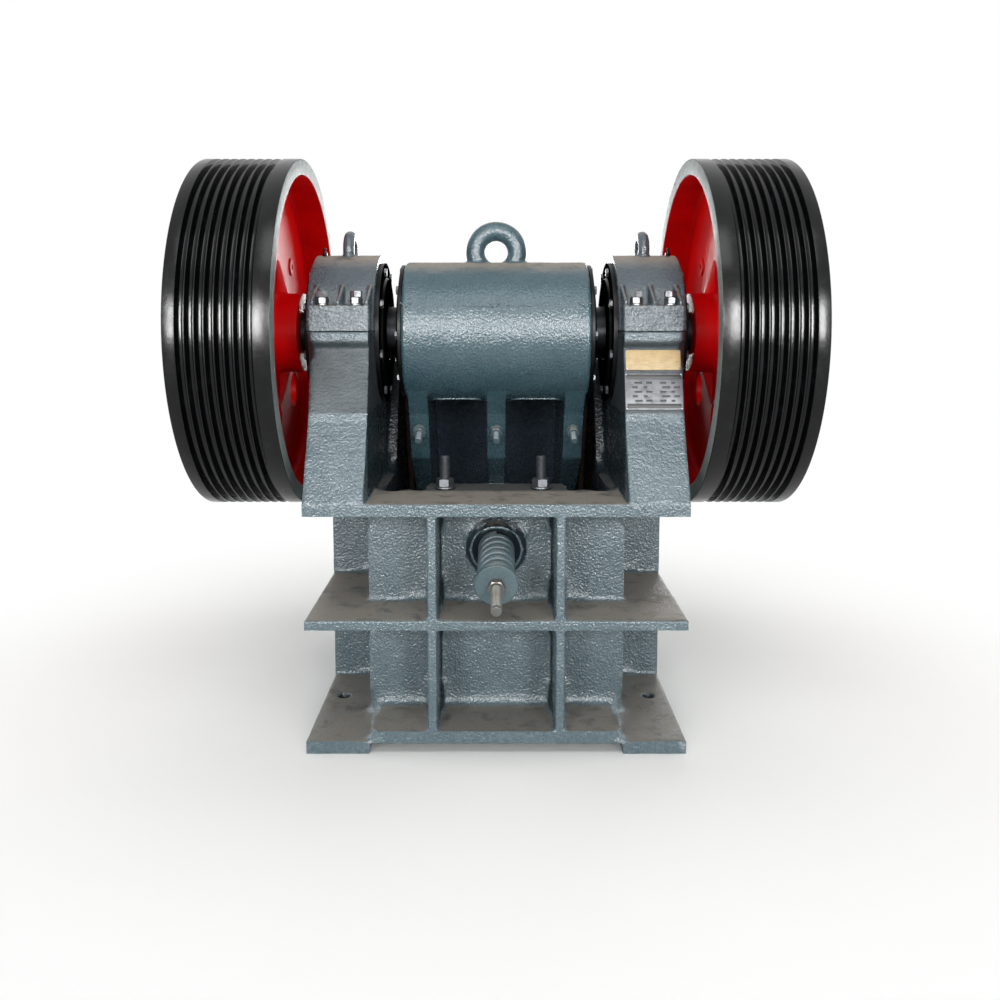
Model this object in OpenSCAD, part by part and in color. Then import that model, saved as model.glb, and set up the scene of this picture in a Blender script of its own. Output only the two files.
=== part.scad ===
// Jaw crusher, single toggle, 400 x 600 feed opening.
// X runs across the machine, +Y points from the toggle end to the feed end, +Z is up.
// The origin is the middle of the anchor bolt pattern, at floor level.

/* [Frame] */
// Length of the base, rear edge to front edge
base_length = 1390; // [1370:10:1500]
// Width over the flanges and feet
flange_width = 1050; // [1030:10:1090]
// Width over the outer faces of the side walls
body_width = 744; // [736:2:760]
// Thickness of a side wall
side_wall_t = 48; // [40:1:52]
// Thickness of the rear and front walls
end_wall_t = 40; // [32:1:50]
// Depth of the ribs behind the rear wall
rear_rib_depth = 180; // [150:5:190]
// Drop from the shaft to the frame top beside the feed opening
frame_top_drop = 90; // [70:5:110]
// Thickness of the foot rails
foot_t = 38; // [32:1:45]
// Width of a foot rail
foot_width = 176; // [165:1:190]
// Underside of the raised plate between the feet
sill_bottom = 29; // [20:1:35]
// Thickness of the raised plate between the feet
sill_t = 36; // [25:1:45]
// Top of the middle flange
mid_flange_top = 379; // [350:1:400]
// Thickness of the middle flange
mid_flange_t = 29; // [20:1:40]
// Top of the upper flange
upper_flange_top = 700; // [680:1:720]
// Thickness of the upper and top flanges
upper_flange_t = 35; // [25:1:45]
// Thickness of the stiffening ribs
rib_t = 28; // [20:1:36]
// Distance between the two ribs on the rear and front walls
rib_spacing = 350; // [300:5:400]
// Reach of the top flange beyond a side wall
top_flange_reach = 98; // [60:1:120]

/* [Anchor bolts] */
// Diameter of an anchor hole
anchor_hole_d = 35; // [26:1:42]
// Distance between the anchor holes across the machine
anchor_spacing_x = 936; // [920:1:960]
// Distance between the anchor holes along the machine
anchor_spacing_y = 760; // [600:10:1000]

/* [Shaft] */
// Height of the shaft above the floor
shaft_height = 1150; // [1130:5:1170]
// Distance of the shaft behind the middle of the base
shaft_setback = 240; // [230:1:250]
// Throw of the eccentric
throw = 10; // [8:0.5:12]
// Angle at which the eccentric is drawn, up from the feed side
rest_angle = 160; // [90:5:180]
// Diameter of the shaft in the main bearings
journal_d = 160; // [140:1:170]
// Diameter of the eccentric
eccentric_d = 210; // [195:1:230]
// Diameter of the shaft in the wheels
wheel_seat_d = 130; // [110:1:138]

/* [Wheels] */
// Diameter of a wheel over the lands
wheel_d = 1050; // [1000:10:1080]
// Width of the rim
rim_width = 281; // [275:1:290]
// Gap between a bearing housing and a rim
rim_gap = 35; // [31:1:43]
// Thickness of the rim
rim_t = 47; // [40:1:55]
// Thickness of the web
web_t = 30; // [22:1:40]
// Distance from the inner edge of the rim to the web
web_inset = 93; // [85:1:120]
// Diameter of the hub
hub_d = 244; // [220:1:280]
// Number of belt grooves
groove_count = 8; // [6:1:8]
// Distance between belt grooves
groove_pitch = 25.5; // [25:0.1:26]
// Width of a belt groove at the rim
groove_width = 22; // [18:0.5:22.5]
// Depth of a belt groove
groove_depth = 19; // [14:0.5:22]
// Smooth land between the outer edge of the rim and the first groove
groove_land = 34; // [28:1:40]
// Number of balancing holes, all in the web's lower half
web_hole_count = 3; // [1:1:3]
// Diameter of a balancing hole
web_hole_d = 105; // [80:1:115]
// Distance from the shaft to the holes in the web
web_hole_r = 275; // [250:1:300]
// Angle between neighbouring balancing holes
web_hole_step = 56; // [45:1:60]

/* [Bearing housings] */
// Gap between the barrel and a bearing housing
barrel_side_gap = 74; // [68:1:78]
// Width of a housing
housing_width = 195; // [185:1:198]
// Outer radius of a housing
housing_r = 238; // [230:1:245]
// Height of the cap joint above the shaft
cap_joint_rise = 10; // [0:1:14]
// Outer diameter of a main bearing
bearing_d = 340; // [310:1:350]
// Thickness of the bolting block of a cap
cap_block_t = 73; // [60:1:85]
// Length of the bolting block of a cap
cap_length = 598; // [580:1:610]
// Step from the inner face of a housing to its pedestal
pedestal_step = 6; // [2:1:10]
// Diameter of a cap stud
cap_stud_d = 22; // [20:1:24]
// Distance between the two studs at one end of a cap
cap_stud_spacing_x = 96; // [90:1:110]
// Distance between the studs at the two ends of a cap
cap_stud_spacing_y = 534; // [530:1:545]
// Thickness of a bearing cover
cover_t = 20; // [14:1:24]
// Outer radius of a main bearing cover
cover_r = 215; // [200:1:225]

/* [Pitman] */
// Radius of the barrel
barrel_r = 213; // [205:1:220]
// Length of the barrel
barrel_length = 556; // [546:1:566]
// Radius of the rounded edges of the barrel
barrel_edge_r = 12; // [6:1:16]
// Outer diameter of the bearings inside the barrel
barrel_bearing_d = 340; // [320:1:360]
// Tilt of the swing jaw away from upright
jaw_tilt = 24.5; // [23:0.5:25]
// Distance from the eccentric to the jaw seat of the pitman
jaw_seat_r = 225; // [222:1:232]
// Thickness of the pitman's front plate
pitman_plate_t = 50; // [40:1:60]
// Thickness of a pitman rib
pitman_rib_t = 60; // [50:1:70]
// Distance between neighbouring pitman ribs
pitman_rib_spacing = 238; // [210:1:240]
// Radius of the bar of the barrel's lifting eye
eye_bar_r = 30; // [24:1:32]
// Radius of the hole of the barrel's lifting eye
eye_hole_r = 34; // [30:1:40]

/* [Jaws] */
// Thickness of a jaw plate over its ridges
jaw_plate_t = 55; // [50:1:60]
// Height of the ridges of a jaw plate
jaw_ridge_h = 20; // [12:1:24]
// Distance between the ridges of a jaw plate
jaw_ridge_pitch = 64; // [50:1:80]
// Width of the swing jaw plate
swing_jaw_width = 590; // [580:1:590]
// Height of the jaws' lower end above the floor
jaw_bottom = 330; // [310:1:350]
// Gap between the jaws at the lower end
discharge_gap = 68; // [60:1:80]
// Thickness of a cheek plate
cheek_t = 24; // [20:1:24]

/* [Toggle and tension rod] */
// Thickness of the toggle plate
toggle_t = 40; // [32:1:44]
// Width of the toggle plate
toggle_width = 460; // [400:5:480]
// Distance from the shaft back to the toggle's rear end
toggle_rear_y = 100; // [95:1:105]
// Height of the toggle's rear end
toggle_rear_z = 470; // [460:1:480]
// Slope of the tension rod, down to the rear
rod_slope = 10; // [8:0.5:12]
// Diameter of the tension rod
rod_d = 27; // [24:1:30]
// Height of the tension rod where it leaves the rear wall
rod_height = 538; // [530:1:545]
// Outer diameter of the spring
spring_d = 105; // [95:1:108]
// Diameter of the spring wire
spring_wire_d = 18; // [14:1:19]
// Length of the spring
spring_length = 236; // [220:1:250]
// Distance between the adjusting studs
adjusting_stud_spacing = 282; // [240:1:300]
// Distance of the pair of adjusting studs to the left of the middle
adjusting_stud_offset = 10; // [0:1:15]
// Diameter of an adjusting stud
adjusting_stud_d = 30; // [24:1:33]

/* [Hidden] */
$fn = 96;
cut = 1;
run_gap = 0.05;
seat_gap = 0.3;

half_base = base_length / 2;
half_flange = flange_width / 2;
half_body = body_width / 2;
half_inside = half_body - side_wall_t;
shaft_y = -shaft_setback;
shaft_z = shaft_height;

rear_out = -half_base + rear_rib_depth;
rear_in = rear_out + end_wall_t;
foot_inner = half_flange - foot_width;
sill_top = sill_bottom + sill_t;
mid_bottom = mid_flange_top - mid_flange_t;
upper_bottom = upper_flange_top - upper_flange_t;
frame_top = shaft_height - frame_top_drop;
top_bottom = frame_top - upper_flange_t;

half_barrel = barrel_length / 2;
housing_inner = half_barrel + barrel_side_gap;
housing_outer = housing_inner + housing_width;
rim_inner = housing_outer + rim_gap;
pedestal_inner = housing_inner + pedestal_step;
cap_joint_z = shaft_z + cap_joint_rise;
half_cap = cap_length / 2;

// Middle of the eccentric at rest, and how far the swing jaw moves from there.
ecc_y = shaft_y + throw * cos(rest_angle);
ecc_z = shaft_z + throw * sin(rest_angle);
travel_back = throw * (1 + cos(rest_angle));
travel_up = throw * (1 - sin(rest_angle));
travel_down = throw * (1 + sin(rest_angle));

// Swing jaw geometry, measured from the eccentric: the jaw seat is a plane at
// jaw_seat_r from it, turned by jaw_tilt.
jaw_top = frame_top - 10;
function seat_y(z, d) = ecc_y + (d - (z - ecc_z) * sin(jaw_tilt)) / cos(jaw_tilt);
function along_seat(z, d) = ((z - ecc_z) - d * sin(jaw_tilt)) / cos(jaw_tilt);
swing_face_d = jaw_seat_r + jaw_plate_t;
fixed_face_y = seat_y(jaw_bottom, swing_face_d) + discharge_gap;
front_in = fixed_face_y + jaw_plate_t;
front_out = front_in + end_wall_t;

swing_bottom_s = along_seat(jaw_bottom, jaw_seat_r);
swing_top_s = along_seat(jaw_top, jaw_seat_r);

spring_seat_y = rear_out;

// Extrudes an outline drawn in (Y, Z) across the machine from x0 to x1.
module across(x0, x1) {
    translate([x0, 0, 0])
        rotate([90, 0, 90])
            linear_extrude(x1 - x0)
                children();
}

// Revolves an outline drawn in (radius, X) about a line along X.
module about_shaft() {
    translate([0, shaft_y, shaft_z])
        rotate([0, 90, 0])
            rotate_extrude()
                children();
}

// A solid or hollow drum about the shaft line, from x0 to x1.
module drum(x0, x1, r_out, r_in = 0) {
    about_shaft()
        translate([r_in, x0])
            square([r_out - r_in, x1 - x0]);
}

// Moves what is drawn about the shaft line to the line of the eccentric.
module on_eccentric() {
    translate([0, ecc_y - shaft_y, ecc_z - shaft_z])
        children();
}

// Puts the children on both sides of the middle plane.
module both_sides() {
    children();
    mirror([1, 0, 0])
        children();
}

// A horizontal plate from z0 up to z1 over a Y range, between two X values.
module slab(x0, x1, y0, y1, z0, z1) {
    translate([x0, y0, z0])
        cube([x1 - x0, y1 - y0, z1 - z0]);
}

// Frame

// Outline of the bearing pedestal above the upper flange, in (Y, Z): a lip under the cap joint,
// a waist below it, and a rear face that leans out more below its bend.
pedestal_lip = 32;
pedestal_waist = 14;
pedestal_waist_z = cap_joint_z - pedestal_lip - pedestal_waist;
pedestal_bend_out = 46;
pedestal_bend_drop = 240;
pedestal_front_out = 156;
pedestal_bend_y = shaft_y - half_cap - pedestal_bend_out;
pedestal_bend_z = shaft_z - pedestal_bend_drop;
pedestal_front = shaft_y + half_cap + pedestal_front_out;
module pedestal_outline() {
    polygon([
        [-half_base, upper_flange_top],
        [pedestal_bend_y, pedestal_bend_z],
        [shaft_y - half_cap + pedestal_waist, pedestal_waist_z],
        [shaft_y - half_cap, cap_joint_z - pedestal_lip],
        [shaft_y - half_cap, cap_joint_z],
        [shaft_y + half_cap, cap_joint_z],
        [shaft_y + half_cap, cap_joint_z - pedestal_lip],
        [pedestal_front, upper_flange_top]
    ]);
}

// Pockets in the outer side of the pedestal: two bays beside a rib under the seat.
pocket_wall = 46;
module pedestal_pockets() {
    difference() {
        polygon([
            [-half_base + 1.3 * pocket_wall, upper_flange_top],
            [shaft_y - half_cap + pocket_wall, shaft_z - 2 * pocket_wall],
            [shaft_y + half_cap - pocket_wall, shaft_z - 2 * pocket_wall],
            [pedestal_front - 1.3 * pocket_wall, upper_flange_top]
        ]);
        translate([shaft_y, shaft_z])
            circle(housing_r);
        translate([shaft_y + rib_t, 0])
            square([rib_t, shaft_z]);
    }
}

// Outline of the side wall: low behind the pitman, high beside the chamber, where its top
// starts clear of the housing.
wall_rise_y = shaft_y + 90;
wall_top_y = shaft_y + housing_r + 4;
module side_wall_outline() {
    polygon([
        [rear_out, foot_t],
        [rear_out, upper_flange_top],
        [wall_rise_y, upper_flange_top],
        [wall_top_y, frame_top],
        [front_out, frame_top],
        [front_out, foot_t]
    ]);
}

side_rib_front = 400;
module side_wall() {
    difference() {
        union() {
            across(half_inside, half_body)
                side_wall_outline();
            slab(foot_inner, half_flange, -half_base, half_base, 0, foot_t);
            slab(half_body, half_flange, -half_base, half_base, mid_bottom, mid_flange_top);
            slab(half_body, half_flange, -half_base, half_base, upper_bottom, upper_flange_top);
            slab(half_body, half_body + top_flange_reach,
                 wall_top_y, half_base, top_bottom, frame_top);
            for (y = [shaft_y + rib_t, side_rib_front])
                slab(half_body, half_flange, y, y + rib_t, foot_t, upper_bottom);
            slab(half_body, half_body + top_flange_reach,
                 side_rib_front, side_rib_front + rib_t, upper_flange_top, top_bottom);
            difference() {
                across(pedestal_inner, half_flange)
                    pedestal_outline();
                across(pedestal_inner + end_wall_t, half_flange + cut)
                    pedestal_pockets();
            }
            intersection() {
                drum(housing_inner, housing_outer, housing_r);
                slab(0, housing_outer + cut, shaft_y - half_cap, shaft_y + half_cap,
                     shaft_z - half_cap, cap_joint_z);
            }
        }
        drum(housing_inner - cut, housing_outer + cut, bearing_d / 2);
        for (y = [-1, 1] * anchor_spacing_y / 2)
            translate([anchor_spacing_x / 2, y, -cut])
                cylinder(h = foot_t + 2 * cut, d = anchor_hole_d);
    }
}

module side_wall_left() {
    color("slategray")
        mirror([1, 0, 0])
            side_wall();
}

module side_wall_right() {
    color("slategray")
        side_wall();
}

// Horizontal plate of an end wall: wide outside the side walls, narrow between them.
module end_flange(wall_in, wall_out, edge, half_w, z0, z1) {
    slab(-half_inside, half_inside, min(wall_in, wall_out), max(wall_in, wall_out), z0, z1);
    slab(-half_w, half_w, min(edge, wall_out), max(edge, wall_out), z0, z1);
}

// Rod line: leaves the rear wall at rod_height and falls towards the rear.
module on_rod_line() {
    translate([0, rear_out, rod_height])
        rotate([90 + rod_slope, 0, 0])
            children();
}

boss_d = 156;
boss_root_d = 168;
boss_reach = 32;
boss_bore_d = 134;
rod_hole_d = 74;
rod_hole_rise = (travel_up - travel_down) / 2;
guide_reach = 95;
guide_half_w = 200;
guide_flare = 22;
shelf_z = toggle_rear_z - 65;
stud_inset = 23;
function adjusting_stud_x() =
    [for (s = [-1, 1]) s * adjusting_stud_spacing / 2 - adjusting_stud_offset];
module rear_wall() {
    color("slategray")
        difference() {
            union() {
                slab(-half_inside, half_inside, rear_out, rear_in, sill_bottom, upper_flange_top);
                end_flange(rear_in, rear_out, -half_base, foot_inner, sill_bottom, sill_top);
                end_flange(rear_in, rear_out, -half_base, half_body, mid_bottom, mid_flange_top);
                end_flange(rear_in, rear_out, -half_base, half_body,
                           upper_bottom, upper_flange_top);
                for (x = [-1, 1] * rib_spacing / 2)
                    slab(x - rib_t / 2, x + rib_t / 2, -half_base, rear_out,
                         sill_top, upper_bottom);
                on_rod_line()
                    cylinder(h = boss_reach, d1 = boss_root_d, d2 = boss_d);
                translate([0, 0, upper_flange_top - upper_flange_t])
                    linear_extrude(upper_flange_t)
                        polygon([
                            [-guide_half_w - guide_flare, rear_in],
                            [-guide_half_w, rear_in + guide_reach],
                            [guide_half_w, rear_in + guide_reach],
                            [guide_half_w + guide_flare, rear_in]
                        ]);
                slab(-half_inside, half_inside, rear_in, shaft_y - toggle_rear_y - 10,
                     shelf_z - rib_t, shelf_z);
            }
            on_rod_line()
                cylinder(h = boss_reach + cut, d = boss_bore_d);
            on_rod_line()
                translate([0, rod_hole_rise, -2 * end_wall_t])
                    cylinder(h = 2 * end_wall_t + cut, d = rod_hole_d);
            for (x = adjusting_stud_x())
                translate([x, rear_in + stud_inset, upper_bottom - cut])
                    cylinder(h = upper_flange_t + 2 * cut, d = adjusting_stud_d + 3);
        }
}

module front_wall() {
    color("slategray") {
        slab(-half_inside, half_inside, front_in, front_out, sill_bottom, frame_top);
        end_flange(front_in, front_out, half_base, foot_inner, sill_bottom, sill_top);
        end_flange(front_in, front_out, half_base, half_body, mid_bottom, mid_flange_top);
        end_flange(front_in, front_out, half_base, half_body, upper_bottom, upper_flange_top);
        end_flange(front_in, front_out, half_base, half_body, top_bottom, frame_top);
        for (x = [-1, 1] * rib_spacing / 2)
            slab(x - rib_t / 2, x + rib_t / 2, front_out, half_base, sill_top, top_bottom);
        slab(-half_inside, half_inside, fixed_face_y + seat_gap, front_in,
             jaw_bottom - 1.5 * end_wall_t, jaw_bottom);
    }
}

// Bearing housings

cap_eye_bar_r = 18;
cap_eye_hole_r = 24;
cap_eye_top = 74;
module bearing_cap() {
    eye_z = shaft_z + housing_r + cap_eye_top - cap_eye_hole_r - 2 * cap_eye_bar_r;
    difference() {
        union() {
            intersection() {
                drum(housing_inner, housing_outer, housing_r);
                slab(0, housing_outer + cut, shaft_y - half_cap, shaft_y + half_cap,
                     cap_joint_z, shaft_z + half_cap);
            }
            slab(pedestal_inner, half_flange, shaft_y - half_cap, shaft_y + half_cap,
                 cap_joint_z, cap_joint_z + cap_block_t);
            translate([(housing_inner + housing_outer) / 2, shaft_y, eye_z])
                rotate([0, 90, 0])
                    rotate_extrude()
                        translate([cap_eye_hole_r + cap_eye_bar_r, 0])
                            circle(cap_eye_bar_r);
            for (x = cap_gusset_x())
                cap_gusset(x);
        }
        drum(housing_inner - cut, housing_outer + cut, bearing_d / 2);
        for (x = cap_stud_x(), y = cap_stud_y())
            translate([x, y, cap_joint_z - cut])
                cylinder(h = cap_block_t + 2 * cut, d = cap_stud_d + 2);
    }
}

// Places of the studs and of the gussets between them.
function cap_middle_x() = (pedestal_inner + half_flange) / 2 + 3;
function cap_stud_x() = [for (s = [-1, 1]) cap_middle_x() + s * cap_stud_spacing_x / 2];
function cap_stud_y() = [for (s = [-1, 1]) shaft_y + s * cap_stud_spacing_y / 2];
function cap_gusset_x() =
    [pedestal_inner, cap_middle_x() - cap_gusset_t / 2, half_flange - cap_gusset_t];

cap_gusset_t = 12;
cap_gusset_low = 14;
cap_gusset_h = 62;
cap_gusset_root = 45;
module cap_gusset(x) {
    block_top = cap_joint_z + cap_block_t;
    across(x, x + cap_gusset_t)
        for (s = [-1, 1])
            polygon([
                [shaft_y + s * (half_cap - 6), block_top - cut],
                [shaft_y + s * (half_cap - 6), block_top + cap_gusset_low],
                [shaft_y + s * (housing_r - cap_gusset_root), block_top + cap_gusset_h],
                [shaft_y + s * (housing_r - 1.6 * cap_gusset_root), block_top - cut]
            ]);
}

module bearing_cap_left() {
    color("slategray")
        mirror([1, 0, 0])
            bearing_cap();
}

module bearing_cap_right() {
    color("slategray")
        bearing_cap();
}

// Studs stand in the pedestal; two nuts lock each other on a washer.
cap_nut_af = 32;
cap_nut_h = 18;
cap_washer_t = 5;
cap_washer_d = 36;
module hex_nut(af, h) {
    cylinder(h = h, r = af / sqrt(3), $fn = 6);
}

module cap_studs() {
    block_top = cap_joint_z + cap_block_t;
    for (x = cap_stud_x(), y = cap_stud_y())
        translate([x, y, block_top + seat_gap]) {
            cylinder(h = cap_washer_t, d = cap_washer_d);
            translate([0, 0, cap_washer_t])
                hex_nut(cap_nut_af, cap_nut_h);
            translate([0, 0, cap_washer_t + cap_nut_h])
                hex_nut(cap_nut_af, cap_nut_h);
            cylinder(h = cap_washer_t + 2 * cap_nut_h + 12, d = cap_stud_d);
            translate([0, 0, -cap_block_t - seat_gap + run_gap])
                cylinder(h = cap_block_t + seat_gap, d = cap_stud_d);
        }
}

module cap_studs_left() {
    color("silver")
        mirror([1, 0, 0])
            cap_studs();
}

module cap_studs_right() {
    color("silver")
        cap_studs();
}

module main_bearing() {
    drum(housing_inner, housing_outer, bearing_d / 2 - run_gap, journal_d / 2 + run_gap);
}

module main_bearing_left() {
    color("darkgray")
        mirror([1, 0, 0])
            main_bearing();
}

module main_bearing_right() {
    color("darkgray")
        main_bearing();
}

// An inner and an outer cover close one housing around the shaft.
cover_gap = 3;
outer_cover_t = 18;
outer_cover_r = 205;
module bearing_covers() {
    drum(housing_inner - cover_t, housing_inner, cover_r, journal_d / 2 + cover_gap);
    drum(housing_outer, housing_outer + outer_cover_t, outer_cover_r, journal_d / 2 + cover_gap);
}

module bearing_covers_left() {
    color("dimgray")
        mirror([1, 0, 0])
            bearing_covers();
}

module bearing_covers_right() {
    color("dimgray")
        bearing_covers();
}

// Jaw plates

// Cross-section of a ridged jaw plate, in (X, thickness), ridges towards +thickness.
module ridged_outline(width) {
    base = jaw_plate_t - jaw_ridge_h;
    half_foot = 0.48 * jaw_ridge_pitch;
    half_crest = 0.13 * jaw_ridge_pitch;
    count = floor((width - jaw_ridge_pitch / 2) / jaw_ridge_pitch);
    function ridge_x(i) = ((count - 1) / 2 - i) * jaw_ridge_pitch;
    polygon(concat(
        [[-width / 2, 0], [width / 2, 0], [width / 2, base]],
        [for (i = [0:count - 1])
            each [
                [ridge_x(i) + half_foot, base],
                [ridge_x(i) + half_crest, jaw_plate_t],
                [ridge_x(i) - half_crest, jaw_plate_t],
                [ridge_x(i) - half_foot, base]
            ]],
        [[-width / 2, base]]
    ));
}

module fixed_jaw_plate() {
    color("darkgray")
        translate([0, front_in, jaw_bottom])
            linear_extrude(jaw_top - jaw_bottom)
                mirror([0, 1])
                    ridged_outline(2 * half_inside - 4);
}

module swing_jaw_plate() {
    color("darkgray")
        in_jaw_frame()
            translate([0, jaw_seat_r, swing_bottom_s])
                linear_extrude(swing_top_s - swing_bottom_s)
                    ridged_outline(swing_jaw_width);
}

// Cheek plates line the side walls between the two jaws.
cheek_overlap = 70;
module cheek_plate() {
    edge = fixed_face_y - seat_gap;
    across(half_inside - cheek_t, half_inside)
        polygon([
            [edge, jaw_bottom],
            [edge, jaw_top],
            [seat_y(jaw_top, swing_face_d - cheek_overlap), jaw_top],
            [seat_y(jaw_bottom, swing_face_d - cheek_overlap), jaw_bottom]
        ]);
}

module cheek_plate_left() {
    color("darkgray")
        mirror([1, 0, 0])
            cheek_plate();
}

module cheek_plate_right() {
    color("darkgray")
        cheek_plate();
}

// Pitman

// The frame of the swing jaw: Y away from the eccentric, Z up along the jaw seat.
module in_jaw_frame() {
    translate([0, ecc_y, ecc_z])
        rotate([jaw_tilt, 0, 0])
            children();
}

// Toggle seat of the pitman, in the machine's own (Y, Z).
toggle_front_z = 440;
toggle_front_y = 275;
toggle_seat_t = 45;
seat_room = 6;
toggle_bite = 22;
seat_face_y = shaft_y + toggle_front_y - toggle_bite;
seat_block_y = seat_face_y + toggle_seat_t;

rod_eye_front = 165;
rod_eye_y = shaft_y + rod_eye_front;
rod_eye_z = rod_height + (rod_eye_y - rear_out) * tan(rod_slope);
rod_eye_r = 36;
rod_pin_d = 24;

// Front plate of the pitman, in the jaw frame: thick where it leaves the barrel, and with a
// heavy bar along its lower end.
plate_end_s = swing_bottom_s - 12;
plate_bar_t = 1.6 * pitman_plate_t;
plate_bar_h = 52;
plate_root_s = -260;
module pitman_plate_outline() {
    polygon([
        [0, 0],
        [barrel_r, 0],
        [jaw_seat_r, -barrel_r / 2],
        [jaw_seat_r, plate_end_s],
        [jaw_seat_r - plate_bar_t, plate_end_s],
        [jaw_seat_r - plate_bar_t, plate_end_s + plate_bar_h],
        [jaw_seat_r - pitman_plate_t, plate_end_s + plate_bar_h + pitman_plate_t],
        [jaw_seat_r - pitman_plate_t, plate_root_s],
        [0.28 * barrel_r, -0.56 * barrel_r]
    ]);
}

// A rib of the pitman, in (Y, Z): from the back of the barrel down to the toggle seat.
rib_back = [[-150, -140], [-60, -250], [10, -400], [150, -500]];
seat_beam_h = 150;
seat_beam_top = toggle_front_z + seat_beam_h / 2;
seat_beam_bottom = toggle_front_z - seat_beam_h / 2;
rib_bury_r = jaw_seat_r - 20;
module pitman_rib_outline() {
    polygon(concat(
        [for (p = rib_back) [ecc_y, ecc_z] + p],
        [
            [seat_block_y, seat_beam_top + 15],
            [seat_block_y, seat_beam_bottom],
            [seat_y(seat_beam_bottom, rib_bury_r), seat_beam_bottom],
            [seat_y(ecc_z - 60, rib_bury_r), ecc_z - 60],
            [ecc_y, ecc_z]
        ]
    ));
}

// The barrel, with rounded outer edges.
module barrel() {
    about_shaft() {
        translate([0, -half_barrel])
            square([barrel_r - barrel_edge_r, barrel_length]);
        translate([0, -half_barrel + barrel_edge_r])
            square([barrel_r, barrel_length - 2 * barrel_edge_r]);
        for (s = [-1, 1])
            translate([barrel_r - barrel_edge_r, s * (half_barrel - barrel_edge_r)])
                circle(barrel_edge_r);
    }
}

module pitman() {
    color("slategray")
        difference() {
            union() {
                on_eccentric()
                    barrel();
                in_jaw_frame()
                    across(-half_barrel, half_barrel)
                        pitman_plate_outline();
                for (i = [-1:1])
                    across(i * pitman_rib_spacing - pitman_rib_t / 2,
                           i * pitman_rib_spacing + pitman_rib_t / 2)
                        pitman_rib_outline();
                across(-half_barrel, half_barrel)
                    polygon([
                        [seat_block_y, seat_beam_top],
                        [seat_block_y, seat_beam_bottom],
                        [seat_y(seat_beam_bottom, rib_bury_r), seat_beam_bottom],
                        [seat_y(seat_beam_top, rib_bury_r), seat_beam_top]
                    ]);
                across(-pitman_rib_t / 2, pitman_rib_t / 2)
                    translate([rod_eye_y, rod_eye_z])
                        circle(rod_eye_r);
                translate([0, ecc_y, ecc_z + barrel_r + eye_bar_r])
                    rotate([90, 0, 0])
                        rotate_extrude()
                            translate([eye_hole_r + eye_bar_r, 0])
                                circle(eye_bar_r);
            }
            on_eccentric()
                drum(-half_barrel - cut, half_barrel + cut, barrel_bearing_d / 2);
            across(-pitman_rib_t, pitman_rib_t)
                translate([rod_eye_y, rod_eye_z])
                    circle(rod_pin_d / 2 + run_gap);
            at_jaw_bolts()
                translate([0, 0, -jaw_bolt_reach])
                    cylinder(h = 2 * jaw_bolt_reach, d = jaw_bolt_d + 2);
            at_jaw_bolts()
                cylinder(h = jaw_bolt_reach, d = jaw_bolt_spot_d);
        }
}

barrel_bearing_w = 110;
module pitman_bearing() {
    on_eccentric()
        drum(half_barrel - barrel_bearing_w, half_barrel, barrel_bearing_d / 2 - run_gap,
             eccentric_d / 2 + run_gap);
}

module pitman_bearing_left() {
    color("darkgray")
        mirror([1, 0, 0])
            pitman_bearing();
}

module pitman_bearing_right() {
    color("darkgray")
        pitman_bearing();
}

pitman_cover_r = 205;
pitman_cover_t = 18;
module pitman_cover() {
    on_eccentric()
        drum(half_barrel, half_barrel + pitman_cover_t, pitman_cover_r,
             eccentric_d / 2 + cover_gap);
}

module pitman_cover_left() {
    color("dimgray")
        mirror([1, 0, 0])
            pitman_cover();
}

module pitman_cover_right() {
    color("dimgray")
        pitman_cover();
}

// Bolts through the ribs hold the swing jaw plate. Each nut sits on a shallow spot face.
jaw_bolt_d = 24;
jaw_nut_af = 36;
jaw_nut_h = 19;
jaw_bolt_spot_d = 50;
jaw_bolt_drop = 265;
jaw_bolt_seat = -155;
jaw_bolt_reach = jaw_seat_r - jaw_bolt_seat;
module at_jaw_bolts() {
    for (i = [-1:1])
        in_jaw_frame()
            translate([i * pitman_rib_spacing, jaw_bolt_seat, -jaw_bolt_drop])
                rotate([90, 0, 0])
                    children();
}

module jaw_bolts() {
    color("silver")
        at_jaw_bolts() {
            translate([0, 0, -jaw_bolt_reach])
                cylinder(h = jaw_bolt_reach + jaw_nut_h + 12, d = jaw_bolt_d);
            translate([0, 0, seat_gap])
                hex_nut(jaw_nut_af, jaw_nut_h);
        }
}

// A hard insert takes the toggle's front end.
seat_insert_h = 120;
seat_insert_side = 10;
module pitman_toggle_seat() {
    half_w = toggle_width / 2 + seat_insert_side;
    color("dimgray")
        across(-half_w, half_w)
            difference() {
                translate([seat_face_y, toggle_front_z - seat_insert_h / 2])
                    square([toggle_seat_t, seat_insert_h]);
                translate([seat_face_y - cut,
                           toggle_front_z - toggle_t / 2 - travel_up - seat_room])
                    square([toggle_bite + travel_back + seat_room + cut,
                            toggle_t + travel_up + travel_down + 2 * seat_room]);
            }
}

// Toggle

toggle_r = toggle_t / 2;
module toggle_outline() {
    rear = [shaft_y - toggle_rear_y + toggle_r, toggle_rear_z];
    front = [shaft_y + toggle_front_y - toggle_r, toggle_front_z];
    run = front - rear;
    span = norm(run);
    translate(rear)
        rotate(atan2(run[1], run[0])) {
            translate([0, -toggle_r])
                square([span, toggle_t]);
            circle(toggle_r);
            translate([span, 0])
                circle(toggle_r);
        }
}

module toggle_plate() {
    color("darkgray")
        across(-toggle_width / 2, toggle_width / 2)
            toggle_outline();
}

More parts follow.
